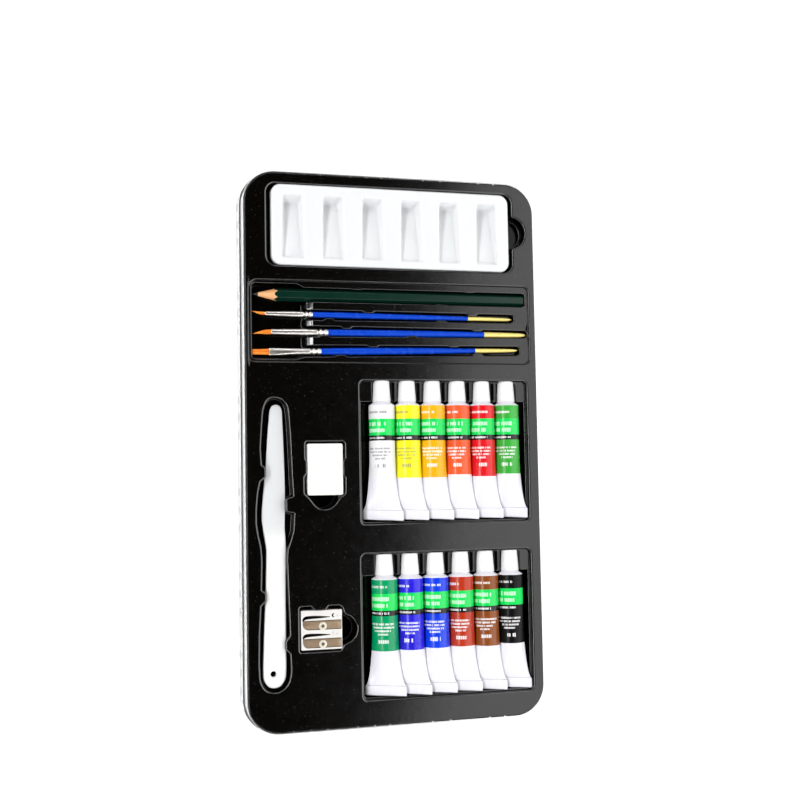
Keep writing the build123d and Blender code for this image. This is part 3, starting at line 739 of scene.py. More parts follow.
# =====================================================================
# pencil, brushes
# =====================================================================
def build_pencil(M):
    b = Builder()
    X0, X1, Y, Z = -88.7, 86.3, 93.2, ZF - 4.6
    flat = 6.9 / 2
    hexr = flat / math.cos(math.pi / 6)
    n = 96
    th = [2 * math.pi * i / n for i in range(n)]

    def hexrad(t):
        a = (t % (math.pi / 3)) - math.pi / 6
        r = flat / math.cos(a)
        # slightly rounded corners
        return min(r, hexr - 0.16 + 0.16 * math.cos(3 * (abs(a) - math.pi / 6)) * 0.2)
    R = [hexrad(t) for t in th]
    slope = 4.35 / 17.6
    lead = 1.05

    def put(x, r):
        return b.points([(X0 + xx, Y + rr_ * math.cos(t), Z + rr_ * math.sin(t)) for xx, rr_, t in zip(x, r, th)])

    # rounded lead point, lead cone, wood cone, painted barrel
    rings = []
    tip = b.points([(X0 + 0.25, Y, Z)])[0]
    rr0 = 0.16
    a = put([0.42] * n, [rr0] * n)
    for i in range(n):
        b.face((tip, a[(i + 1) % n], a[i]), 2)
    xl = (lead - 0.02) / slope
    c = put([xl] * n, [lead - 0.02] * n)
    b.bridge(c, a, 2, flip=True)
    prev = c
    xb = [r / slope for r in R]
    steps = 7
    for j in range(1, steps + 1):
        f = j / steps
        x = [xl + (q - xl) * f for q in xb]
        cur = put(x, [lead - 0.02 + (r - lead + 0.02) * f for r in R])
        b.bridge(cur, prev, 1, flip=True)
        prev = cur
    # a hair of paint thickness where the lacquer starts
    cur = put([q + 0.06 for q in xb], [r + 0.03 for r in R])
    b.bridge(cur, prev, 0, flip=True)
    prev = cur
    far = X1 - X0
    for x in (30, 60, 90, 120, 150, far - 0.5):
        cur = put([x] * n, [r + 0.02 for r in R])
        b.bridge(cur, prev, 0, flip=True)
        prev = cur
    cur = put([far - 0.1] * n, [r - 0.3 for r in R])
    b.bridge(cur, prev, 0, flip=True)
    prev = cur
    cur = put([far] * n, [r - 0.7 for r in R])
    b.bridge(cur, prev, 0, flip=True)
    prev = cur
    cur = put([far] * n, [lead] * n)
    b.bridge(cur, prev, 1, flip=True)
    prev = cur
    e = b.points([(X0 + far, Y, Z)])[0]
    for i in range(n):
        b.face((e, prev[i], prev[(i + 1) % n]), 2)
    return b.build("pencil", [M["pencil"], M["cedar"], M["lead"]], "pencil", ["pencil_barrel", "pencil_lead"])


def lathe(b, origin, direction, prof, n=40, mats=None, squash=None):
    """prof: (distance, radius) pairs along the direction; squash(distance) -> (side, up) factors."""
    o = np.array(origin, float)
    d = np.array(direction, float)
    d /= np.linalg.norm(d)
    up = np.array((0, 0, 1.0))
    up = up - d * np.dot(up, d)
    up /= np.linalg.norm(up)
    side = np.cross(up, d)
    rings = []
    for s, r in prof:
        ks, ku = squash(s) if squash else (1, 1)
        if r < 1e-6:
            rings.append(b.points([o + d * s]))
        else:
            rings.append(b.points([o + d * s + side * (r * ks * math.cos(2 * math.pi * i / n)) + up * (r * ku * math.sin(2 * math.pi * i / n)) for i in range(n)]))
    for j in range(len(rings) - 1):
        p, q = rings[j], rings[j + 1]
        mt = mats[j] if mats else 0
        for i in range(n):
            k = (i + 1) % n
            if len(p) == 1:
                b.face((p[0], q[k], q[i]), mt)
            elif len(q) == 1:
                b.face((p[i], p[k], q[0]), mt)
            else:
                b.face((p[i], p[k], q[k], q[i]), mt)


BR = {
    "small": dict(tip=-88.9, root=-80.4, fer=-51.3, gold=48.9, end=78.7, y0=81.55, y1=80.85, d=3.5, r0=1.15, r1=1.75,
                  h=((0, 1.72), (0.05, 1.78), (0.15, 1.8), (0.3, 1.74), (0.5, 1.6), (0.65, 1.47), (0.78, 1.3), (0.88, 1.18), (0.95, 1.05), (0.975, 0.9), (0.99, 0.65), (0.998, 0.3), (1.0, 0.0)), flat=None, body="small_brush"),
    "large": dict(tip=-88.0, root=-76.8, fer=-41.8, gold=59.5, end=88.3, y0=70.4, y1=71.0, d=3.6, r0=1.65, r1=2.0,
                  h=((0, 1.97), (0.07, 2.08), (0.2, 2.1), (0.35, 2.06), (0.5, 2.0), (0.65, 1.88), (0.78, 1.75), (0.88, 1.6), (0.95, 1.42), (0.975, 1.22), (0.99, 0.9), (0.998, 0.42), (1.0, 0.0)), flat=None, body="large_brush"),
    "flat": dict(tip=-88.9, root=-78.1, fer=-46.3, gold=53.3, end=82.4, y0=58.1, y1=61.2, d=3.6, r0=2.15, r1=1.95,
                 h=((0, 1.92), (0.07, 2.12), (0.18, 2.2), (0.35, 2.12), (0.5, 2.0), (0.65, 1.7), (0.78, 1.42), (0.88, 1.25), (0.95, 1.08), (0.975, 0.9), (0.99, 0.62), (0.998, 0.3), (1.0, 0.0)), flat=(2.15, 0.79), body="flat_brush"),
}


def build_brush(key, M):
    B = BR[key]
    xt, xr, xf, xe, xg = B["tip"], B["root"], B["fer"], B["end"], B["gold"]
    sl = (B["y1"] - B["y0"]) / (xe - xt)
    kk = math.hypot(1, sl)
    z = ZF - B["d"]
    D = (1, sl, 0)

    def at(x):
        return (x, B["y0"] + sl * (x - xt), z)

    # handle
    b = Builder()
    L = (xe - xf) * kk
    fg = (xg - xf) / (xe - xf)
    H = [(f, r) for f, r in B["h"]]
    fine = []
    for (fa, ra), (fb, rb) in zip(H, H[1:]):
        fine.append((fa, ra))
        if fa < fg < fb:
            rg = ra + (rb - ra) * (fg - fa) / (fb - fa)
            fine += [(fg - 0.0012, rg), (fg, rg + 0.02)]
    fine.append(H[-1])
    prof = [(0.0, B["r1"] - 0.5)] + [(f * L, r) for f, r in fine]
    mats = [0] + [0 if f < fg - 0.0006 else 1 for f, _ in fine[:-1]]
    lathe(b, at(xf), D, prof, 40, mats)
    b.build("brush_%s_lacquered_handle" % key, [M["blue"], M["gold"]], B["body"], ["brush_%s_handle" % key])
    # ferrule: rolled mouth, body, two crimped grooves
    b = Builder()
    FL = (xf - xr) * kk
    r0, r1 = B["r0"], B["r1"]
    rm = r1 - 0.02
    gap = {"small": 2.4, "large": 3.1, "flat": 3.0}[key]

    def groove(s):
        r = r0 + (rm - r0) * min(1.0, s / (FL * 0.6))
        for c in (FL - 1.3 - 1.5 * gap, FL - 1.3 - 0.5 * gap):
            r -= 0.62 * math.exp(-((s - c) / 0.50) ** 2)
        for c in (FL - 1.3 - gap, FL - 1.3):
            r += 0.13 * math.exp(-((s - c) / 0.62) ** 2)
        return r
    prof = [(0.35, r0 - 0.32), (0.0, r0 - 0.22), (-0.02, r0 - 0.1), (0.05, r0 - 0.01)]
    s = 0.3
    while s < FL - 9:
        prof.append((s, groove(s)))
        s += 1.2
    while s < FL - 0.25:
        prof.append((s, groove(s)))
        s += 0.16
    prof += [(FL - 0.12, rm + 0.02), (FL + 0.02, rm - 0.06), (FL + 0.02, rm - 0.3)]
    sq = None
    if B["flat"]:
        w, t = B["flat"]

        def sq(s, w=w, t=t):
            f = min(1.0, max(0.0, s / 21.0))
            f = f * f * (3 - 2 * f)
            return (1.0, (t / w) + (1 - t / w) * f)
    lathe(b, at(xr), D, prof, 40, squash=sq)
    b.build("brush_%s_crimped_ferrule" % key, [M["ferrule"]], B["body"], ["brush_%s_ferrule" % key])
    # bristles: a core and many fine tapering hairs
    rng = random.Random(31 + len(key))
    b = Builder()
    HL = (xr - xt) * kk
    core = []
    for j in range(9):
        f = j / 8
        if B["flat"]:
            r = (r0 - 0.42) * (1 - 0.12 * f)
        else:
            r = (r0 - 0.3) * (1 - f ** 1.7 * 0.93) * (1.0 + 0.10 * math.sin(math.pi * min(1, f * 1.6)))
        core.append((-HL * f * 0.97, max(r, 0.05)))
    core = [(3.0, r0 - 0.36)] + core
    core.append((core[-1][0] - 0.12, 0.0))

    def csq(s):
        if not B["flat"]:
            return (1, 1)
        w, t = B["flat"]
        f = min(1.0, max(0.0, -s / HL))
        return (1.0, (t / w) * (1 - 0.62 * f) * 0.92)
    c_from = len(b.v)
    lathe(b, at(xr), (-1, -sl, 0), [(-s, r) for s, r in core], 28, squash=lambda s: csq(-s))
    sway = {"small": 1.5, "large": -1.45, "flat": 0.0}[key]
    for i in range(c_from, len(b.v)):
        x_, y_, z_ = b.v[i]
        b.v[i] = (x_, y_ + sway * (max(0.0, (xr - x_) * kk) / HL) ** 2, z_)
    nh = 150 if B["flat"] else 110
    for h in range(nh):
        a = rng.uniform(0, 2 * math.pi)
        rad = math.sqrt(rng.uniform(0.35, 1.0))
        ln = HL * (rng.uniform(0.93, 1.0) if B["flat"] else rng.uniform(0.72, 1.0))
        wob = rng.uniform(-0.05, 0.05)
        hr = rng.uniform(0.055, 0.085)
        pts = []
        for j in range(6):
            f = j / 5
            s = ln * f
            if B["flat"]:
                w, t = B["flat"]
                ry = (w - 0.34) * (1 - 0.1 * (s / HL))
                rz = (t - 0.2) * (1 - 0.6 * (s / HL))
            else:
                q = s / HL
                ry = rz = (r0 - 0.24) * max(0.0, 1 - q ** 1.7 * 0.97) * (1.0 + 0.10 * math.sin(math.pi * min(1, q * 1.6)))
            bend = sway * (s / HL) ** 2
            c0 = at(xr - s / kk)
            pts.append((c0[0], c0[1] + bend + ry * rad * math.cos(a) + wob * f, c0[2] + rz * rad * math.sin(a)))
        prev = None
        for j, p in enumerate(pts):
            rr_ = hr * (1 - 0.8 * (j / 5) ** 2)
            ring = b.points([(p[0], p[1] + rr_ * math.cos(q), p[2] + rr_ * math.sin(q)) for q in (0.5, 2.07, 3.64, 5.21)])
            if prev:
                b.bridge(prev, ring, 0)
            else:
                b.face(ring, 0)
            prev = ring
        b.face(prev[::-1], 0)
    b.build("brush_%s_hairs" % key, [M["bristle"]], B["body"], ["brush_%s_bristles" % key], weighted=False)


# =====================================================================
# palette knife, eraser
# =====================================================================
def build_knife(M):
    b = Builder()
    KZ = ZF - 2.5
    P = [(-77.9, 23.0, 3.6), (-79.2, 10.2, 60), (-80.7, -9.9, 60), (-82.2, -25.0, 40), (-83.3, -37.6, 12), (-83.3, -43.0, 10), (-82.3, -50.5, 20), (-80.8, -60.1, 20), (-81.4, -80.2, 60), (-82.3, -100.3, 60),
         (-83.6, -130.4, 40), (-83.7, -136.5, 7), (-80.6, -141.0, 7), (-76.8, -142.0, 7), (-73.0, -141.0, 7), (-69.9, -136.5, 7), (-69.5, -130.4, 40), (-69.5, -105.3, 60), (-69.3, -80.2, 60),
         (-68.9, -60.1, 20), (-69.6, -49.0, 20), (-69.3, -42.0, 20), (-69.15, -37.1, 30), (-69.1, -20.0, 60), (-69.6, 0.1, 60), (-70.4, 23.0, 3.6), (-71.4, 25.6, 3.0), (-74.1, 26.6, 3.0), (-76.9, 25.6, 3.0)]
    Q = outline(P, 2.0, 7.0)
    n, m = normals(Q)

    def sm(t):
        t = np.clip(t, 0, 1)
        return t * t * (3 - 2 * t)

    def top(P_):
        x, y = P_[:, 0], P_[:, 1]
        z = KZ - 2.0 * sm((y + 53.4) / 9.2)
        # handle a little crowned, with a shallow groove near its end
        mid = -76.2
        crown = 0.28 * np.clip(((x - mid) / 7.0) ** 2, 0, 1) * sm((-y - 52.0) / 6.0)
        gr = 0.22 * np.exp(-((x + 75.6) / 0.55) ** 2) * sm((-y - 103) / 4) * sm((y + 129.5) / 3)
        return z - crown - gr

    def bot(P_):
        y = P_[:, 1]
        return KZ - 3.6 + 0.4 * sm((y + 53.4) / 9.2)

    def rad(P_):
        y = P_[:, 1]
        return 1.05 - 0.62 * sm((y + 53.4) / 9.2)
    R = rad(Q)
    seq = []
    prev = None
    k = 5
    first = None
    for j in range(k + 1):
        a = math.pi / 2 * j / k
        P_ = Q + n * (m * R * (1 - math.sin(a)))[:, None]
        cur = b.ring(P_, top(P_) - R * (1 - math.cos(a)))
        if prev is None:
            first, firstP = cur, P_
        else:
            b.bridge(cur, prev)
        prev = cur
    Rb = np.minimum(R, 0.55)
    for j in range(k + 1):
        a = math.pi / 2 * j / k
        P_ = Q + n * (m * Rb * (1 - math.cos(a)))[:, None]
        cur = b.ring(P_, bot(P_) + Rb * (1 - math.sin(a)))
        b.bridge(cur, prev)
        prev = cur
    last = prev
    # hole
    hc, hr = (-77.45, -133.4), 1.8
    th = np.linspace(0, 2 * math.pi, 29)[:-1]
    H = lambda r: np.c_[hc[0] + r * np.cos(th), hc[1] + r * np.sin(th)]
    rings = []
    for r_, dz in ((hr + 0.42, 0.0), (hr + 0.3, 0.0), (hr + 0.12, 0.06), (hr + 0.02, 0.2), (hr, 0.36)):
        rings.append(b.ring(H(r_), top(H(r_)) - dz))
    for o, i in zip(rings, rings[1:]):
        b.bridge(o, i)
    lowr = b.ring(H(hr), bot(H(hr)) + 0.3)
    b.bridge(rings[-1], lowr)
    lowe = b.ring(H(hr + 0.2), bot(H(hr + 0.2)))
    b.bridge(lowr, lowe)
    xs = np.arange(-83.5, -68.5, 1.0)
    ys = np.concatenate([np.arange(-141, -102, 1.0), np.arange(-100, -57, 4.0), np.arange(-56, -41, 0.9), np.arange(-40, 26, 4.0)])
    ex = np.array([(x, y) for x in xs for y in ys])
    b.fill(first, [rings[0]], extra=ex, zf=top)
    b.fill(last, [lowe], flip=True, extra=ex, zf=bot)
    return b.build("palette_knife_moulding", [M["knife"]], "knife", ["palette_knife"])


def build_eraser(M):
    b = Builder()
    cx, cy, w, l, t = -45.0, -12.9, 22.0, 31.2, 11.0
    Q = outline([(cx - w / 2, cy - l / 2, 1.3), (cx + w / 2, cy - l / 2, 1.1), (cx + w / 2, cy + l / 2, 1.2), (cx - w / 2, cy + l / 2, 1.0)], 1.6, 15)
    n, m = normals(Q)
    zt, zb = ZF - 0.3, ZF - 0.3 - t
    rng = np.random.RandomState(5)

    def top(P_):
        x, y = P_[:, 0], P_[:, 1]
        return zt - 0.10 * (((x - cx) / (w / 2)) ** 2 + ((y - cy) / (l / 2)) ** 2) / 2 - 0.04 * np.sin(x * 0.9 + 1.0) * np.sin(y * 0.7)
    r = 0.75
    prev = None
    for j in range(6):
        a = math.pi / 2 * j / 5
        P_ = Q + n * (m * r * (1 - math.sin(a)))[:, None]
        cur = b.ring(P_, top(P_) - r * (1 - math.cos(a)))
        if prev is None:
            first = cur
        else:
            b.bridge(cur, prev)
        prev = cur
    for z, g in ((zt - 4, 0.08), (zt - 7, 0.06)):
        cur = b.ring(Q + n * (m * g)[:, None], z)
        b.bridge(cur, prev)
        prev = cur
    for j in range(6):
        a = math.pi / 2 * j / 5
        P_ = Q + n * (m * r * (1 - math.cos(a)))[:, None]
        cur = b.ring(P_, zb + r * (1 - math.sin(a)))
        b.bridge(cur, prev)
        prev = cur
    ex = np.array([(x, y) for x in np.arange(cx - 10, cx + 10.1, 1.6) for y in np.arange(cy - 15, cy + 15.1, 1.6)])
    b.fill(first, extra=ex, zf=top)
    b.fill(prev, flip=True)
    return b.build("eraser_block", [M["eraser"]], "eraser", ["eraser"])


# =====================================================================
# sharpener
# =====================================================================
def build_sharpener(M):
    X0, Y1 = -60.95, -96.9          # its top left corner
    W_, L_ = 25.0, 23.4
    zt = ZF - 0.5

    def at(u, v):
        return (X0 + u, Y1 - v)
    b = Builder()
    Q = outline([(X0, Y1 - L_, 0.5), (X0 + W_, Y1 - L_, 0.5), (X0 + W_, Y1, 0.5), (X0, Y1, 0.5)], 2.0, 20)
    n, m = normals(Q)
    prev = None
    for j in range(5):
        a = math.pi / 2 * j / 4
        P_ = Q + n * (m * 0.4 * (1 - math.sin(a)))[:, None]
        cur = b.ring(P_, zt - 0.4 * (1 - math.cos(a)))
        if prev is None:
            first = cur
            lip = b.ring(Q + n * (m * 0.5)[:, None], zt)
            b.bridge(first, lip)
        else:
            b.bridge(cur, prev)
        prev = cur
    for j in range(5):
        a = math.pi / 2 * j / 4
        P_ = Q + n * (m * 0.4 * (1 - math.cos(a)))[:, None]
        cur = b.ring(P_, zt - 11.0 + 0.4 * (1 - math.sin(a)))
        b.bridge(cur, prev)
        prev = cur
    b.fill(prev, flip=True)
    holes = []
    blades = []
    def bladeshape(v0, v1, g):
        r = 3.3 + g
        P = [at(24.3 + g * 0.7, v0 - g) + (0.15,), at(1.25 - g, v0 - g) + (0.8,)]
        for a in range(180, 89, -15):
            P.append(at(1.25 - g + r + r * math.cos(math.radians(a)), v1 + g - r + r * math.sin(math.radians(a))) + (0,))
        P.append(at(24.3 + g * 0.7, v1 + g) + (0.15,))
        return outline(P, 1.5)
    # the blades' seats, 0.24 mm wider than the blades, their walls and floor painted near-black: a painted shadow that
    # draws the dark outline round each blade
    for v0, v1 in ((6.35, 11.35), (17.0, 22.0)):
        rim, fl, _ = pocket(b, bladeshape(v0, v1, 0.24), [(0, 0), (0.05, 0.03), (0.08, 0.12), (0.1, 1.0)], zt, lip=0.05, mat=1)
        b.fill(fl, mat=1)
        holes.append(rim)
        blades.append((v0, v1))
    for v in (3.35, 13.85):
        # the dark opening that lets the shavings out: a crescent that follows the blade's corner, its walls and floor
        # painted near-black as painted shade
        S = [at(0.72, v + 2.7) + (0.1,), at(0.95, v + 1.2) + (0.9,), at(2.6, v + 0.05) + (1.2,), at(6.0, v - 0.15) + (4,), at(11.0, v) + (6,), at(17.8, v + 0.7) + (0.1,), at(17.6, v + 0.95) + (0.1,),
             at(11.0, v + 1.45) + (6,), at(6.0, v + 1.65) + (4,), at(3.2, v + 1.9) + (1.2,), at(1.8, v + 2.4) + (0.7,), at(1.05, v + 3.1) + (0.1,)]
        rim, fl, _ = pocket(b, outline(S, 0.8), [(0, 0), (0.03, 0.03), (0.05, 0.1), (0.055, 4.5)], zt, lip=0.03, mat=1)
        b.fill(fl, mat=1)
        holes.append(rim)
        # the end of the pencil's hole: a dark crescent and a short shallow hollow beside it; the first crescent's dark
        # is painted shade, near-black paint, the second keeps the body's colour
        S = [at(18.5, v + 0.15) + (0.4,), at(19.0, v - 0.85) + (0.5,), at(20.3, v - 1.15) + (0.2,), at(20.1, v - 0.8) + (0.2,), at(19.5, v - 0.2) + (0.4,), at(19.5, v + 0.6) + (0.4,), at(20.6, v + 1.2) + (0.2,), at(19.4, v + 1.25) + (0.4,)]
        rim, fl, _ = pocket(b, outline(S, 0.5), [(0, 0), (0.03, 0.03), (0.05, 0.1), (0.06, 1.6 if v < 5 else 0.5)], zt, lip=0.03, mat=1 if v < 5 else 0)
        b.fill(fl, mat=1 if v < 5 else 0)
        holes.append(rim)
        S = [at(20.7, v - 0.75) + (0.5,), at(20.9, v + 0.95) + (0.5,), at(23.9, v + 1.1) + (0.3,), at(23.9, v - 0.75) + (0.3,)]
        rim, fl, _ = pocket(b, outline(S, 0.8), [(0, 0), (0.08, 0.04), (0.16, 0.16), (0.3, 0.7)], zt, lip=0.06)
        b.fill(fl)
        holes.append(rim)
    b.fill(lip, holes)
    b.build("sharpener_cast_body", [M["body"], M["hollow"]], "sharpener", ["sharpener_body"], weighted=False)
    # blades
    for i, (v0, v1) in enumerate(blades):
        b = Builder()
        Q = bladeshape(v0, v1, 0.0)
        n, m = normals(Q)
        hole = np.array([at(13.1, (v0 + v1) / 2 + 0.7)])
        first = b.ring(Q + n * (m * 0.12)[:, None], zt - 0.1)
        p2 = b.ring(Q, zt - 0.2)
        b.bridge(p2, first)
        p3 = b.ring(Q, zt - 0.92)
        b.bridge(p3, p2)
        # the top face, with a row of extra points along the cutting edge at the same height; the only bevel is the
        # small chamfer all round the edge
        b.fill(first, extra=np.array([at(u, v) for u in np.arange(2.5, 24, 1.5) for v in (v0 + 0.75,)]), zf=lambda E_: np.full(len(E_), zt - 0.1))
        b.fill(p3, flip=True)
        b.build("sharpener_steel_blade_%d" % (i + 1), [M["blade"]], "sharpener", ["sharpener_blade_%d" % (i + 1)], weighted=False)
    # screws with a countersunk head and a shallow round dip in place of the slot, painted dark brown as painted shade
    b = Builder()
    for v0, v1 in blades:
        cx, cy = at(13.1, (v0 + v1) / 2 + 0.65)
        for s0, s1, z0, z1, mt in ((2.35, 2.42, -0.1, -0.02, 0), (2.42, 2.2, -0.02, 0.22, 0), (2.2, 1.75, 0.22, 0.36, 0), (1.75, 1.12, 0.36, 0.34, 0), (1.12, 0.95, 0.34, 0.05, 0), (0.95, 0.4, 0.05, -0.05, 1)):
            r0 = b.points([(cx + s0 * math.cos(2 * math.pi * i / 40), cy + s0 * math.sin(2 * math.pi * i / 40), zt + z0) for i in range(40)])
            r1 = b.points([(cx + s1 * math.cos(2 * math.pi * i / 40), cy + s1 * math.sin(2 * math.pi * i / 40), zt + z1) for i in range(40)])
            b.bridge(r0, r1, mt)
        c0 = b.points([(cx, cy, zt - 0.06)])[0]
        for i in range(40):
            b.face((c0, r1[i], r1[(i + 1) % 40]), 1)
    b.build("sharpener_screw_heads", [M["screw"], M["screw_dark"]], "sharpener", ["sharpener_screws"], weighted=False)


# =====================================================================
# lid and base of the tin
# =====================================================================
def build_lid(M):
    """Shallow pressed lid, with a rolled rim and groups of three shallow dents round its side."""
    b = Builder()
    hx, hy, r, h = 94.95, 169.35, 20.8, 11.5
    Q = rrect(-hx, hx, -hy, hy, r, 1.3, 3.0)
    n, m = normals(Q)
    S = np.concatenate([[0.0], np.cumsum(np.linalg.norm(np.roll(Q, -1, axis=0) - Q, axis=1))])
    N, L = len(Q), float(S[-1])
    NM = n * m[:, None]

    def along(s_, ins):
        """Point of the wall's outline at the distance s_ along it, ins mm inside it."""
        s_ = s_ % L
        i = min(N - 1, int(np.searchsorted(S, s_, side="right") - 1))
        f = (s_ - S[i]) / (S[i + 1] - S[i])
        j = (i + 1) % N
        return (Q[i] * (1 - f) + Q[j] * f) + (NM[i] * (1 - f) + NM[j] * f) * ins

    def ring_at(ins, z):
        return b.ring(Q + NM * ins, z)
    # floor, rounded foot, lower part of the wall
    W = 0.13
    first = None
    for ins, z in ((1.6, 0.0), (1.05, 0.06), (0.55, 0.33), (0.22, 0.75), (W, 1.2), (W, 1.45)):
        cur = ring_at(ins, z)
        if first is None:
            first = cur
        else:
            b.bridge(prev, cur)
        prev = cur
    b.fill(first, flip=True)
    z0, z1 = 1.45, 10.3
    low, high = prev, ring_at(W, z1)
    # the wall between, opened out and filled round the dents
    spots = [(sx * hx, g + k * 10.8) for g in (137.5, 83.0, 19.0, -36.5, -86.5, -133.5) for k in (-1, 0, 1) for sx in (-1, 1)]
    spots += [(g + k * 10.8, sy * hy) for g in (-56.0, -18.7, 18.7, 56.0) for k in (-1, 0, 1) for sy in (-1, 1)]
    flat, idx, edges = [], [], []

    def chain(pts, ids, close=False):
        i0 = len(flat)
        flat.extend(pts)
        idx.extend(ids)
        edges.extend([(i0 + i, i0 + i + 1) for i in range(len(pts) - 1)])
        if close:
            edges.append((i0 + len(pts) - 1, i0))
        return i0
    c0 = chain([(float(x), z0) for x in S], low + [low[0]])
    c1 = chain([(float(x), z1) for x in S], high + [high[0]])
    edges += [(c0, c1), (c0 + N, c1 + N)]
    steps = ((3.5, 0.0), (3.3, 0.0), (3.05, -0.05), (2.9, 0.0), (2.78, 0.14), (2.62, 0.33), (2.42, 0.42), (2.0, 0.44), (1.2, 0.43))
    holes2 = []
    for px, py in spots:
        C_, d_ = nearest(np.array([(px, py)]), Q)
        k_ = int(np.argmin(np.linalg.norm(Q - C_[0], axis=1)))
        cand = []
        for i in ((k_ - 1) % N, k_):
            a_, b_ = Q[i], Q[(i + 1) % N]
            t_ = float(np.dot(C_[0] - a_, b_ - a_) / np.dot(b_ - a_, b_ - a_))
            if -1e-6 <= t_ <= 1 + 1e-6:
                cand.append(S[i] + t_ * (S[i + 1] - S[i]))
        sc = cand[0]
        m2 = 26
        pr = None
        for rr_, dp in steps:
            P2 = [(sc + rr_ * math.cos(2 * math.pi * q / m2), 5.9 + rr_ * 1.22 * math.sin(2 * math.pi * q / m2)) for q in range(m2)]
            pts = [(*along(u_, W + dp), w_) for u_, w_ in P2]
            cur = b.points(pts)
            if pr is None:
                chain(P2, cur, True)
                holes2.append(np.array(P2))
            else:
                b.bridge(pr, cur)
            pr = cur
        cc = b.points([(*along(sc, W + 0.42), 5.9)])[0]
        for q in range(m2):
            b.face((pr[q], pr[(q + 1) % m2], cc))
    vs, es, fs, ov, oe, of_ = delaunay_2d_cdt([Vector(q) for q in flat], edges, [], 0, 1e-7)
    back = [o[0] if o else -1 for o in ov]
    C = np.array([[sum(vs[i][0] for i in f) / 3, sum(vs[i][1] for i in f) / 3] for f in fs])
    ok = (C[:, 0] > 0) & (C[:, 0] < L) & (C[:, 1] > z0) & (C[:, 1] < z1)
    for H in holes2:
        ok &= ~inside(C, H)
    for f, good in zip(fs, ok):
        if good and all(back[i] >= 0 for i in f):
            t = [idx[back[i]] for i in f]
            if len(set(t)) == 3:
                b.face(t)
    prev = high
    for ins, z in ((W, 10.45), (0.04, 10.62), (0.0, 10.82), (0.0, 11.1), (0.07, 11.35), (0.25, 11.48), (0.45, 11.47), (0.62, 11.37), (0.7, 11.2)):
        cur = ring_at(ins, z)
        b.bridge(prev, cur)
        prev = cur
    return b.build("lid_pressed_tin", [M["tin"]], "lid", ["tin_lid"], solidify=0.3, weighted=False)


# =====================================================================
# tubes and caps
# =====================================================================
SEC = ((13.0, 5.4, 5.4, 0.5), (13.5, 5.5, 5.5, 0.5), (13.9, 6.1, 6.1, 0.5), (14.5, 7.1, 7.1, 0.5), (14.95, 7.72, 7.72, 0.5), (15.4, 7.95, 7.95, 0.5), (15.9, 8.0, 8.0, 0.5), (23.4, 8.0, 8.0, 0.5),
       (33.4, 8.0, 8.0, 0.5), (44.0, 8.03, 7.9, 0.54), (50.0, 8.16, 7.5, 0.6), (57.0, 8.36, 6.85, 0.72), (62.0, 8.75, 5.75, 0.85), (67.5, 9.25, 4.5, 0.95), (71.5, 9.8, 3.6, 1.0), (75.0, 10.4, 2.7, 1.0), (77.5, 11.1, 1.75, 1.0), (79.0, 11.75, 0.95, 1.0), (79.75, 12.2, 0.64, 1.0))


def sec_at(s):
    for p, q in zip(SEC, SEC[1:]):
        if s <= q[0] + 1e-9:
            f = (s - p[0]) / (q[0] - p[0])
            f = min(1, max(0, f))
            return [p[i] + (q[i] - p[i]) * f for i in (1, 2, 3)]
    return list(SEC[-1][1:])


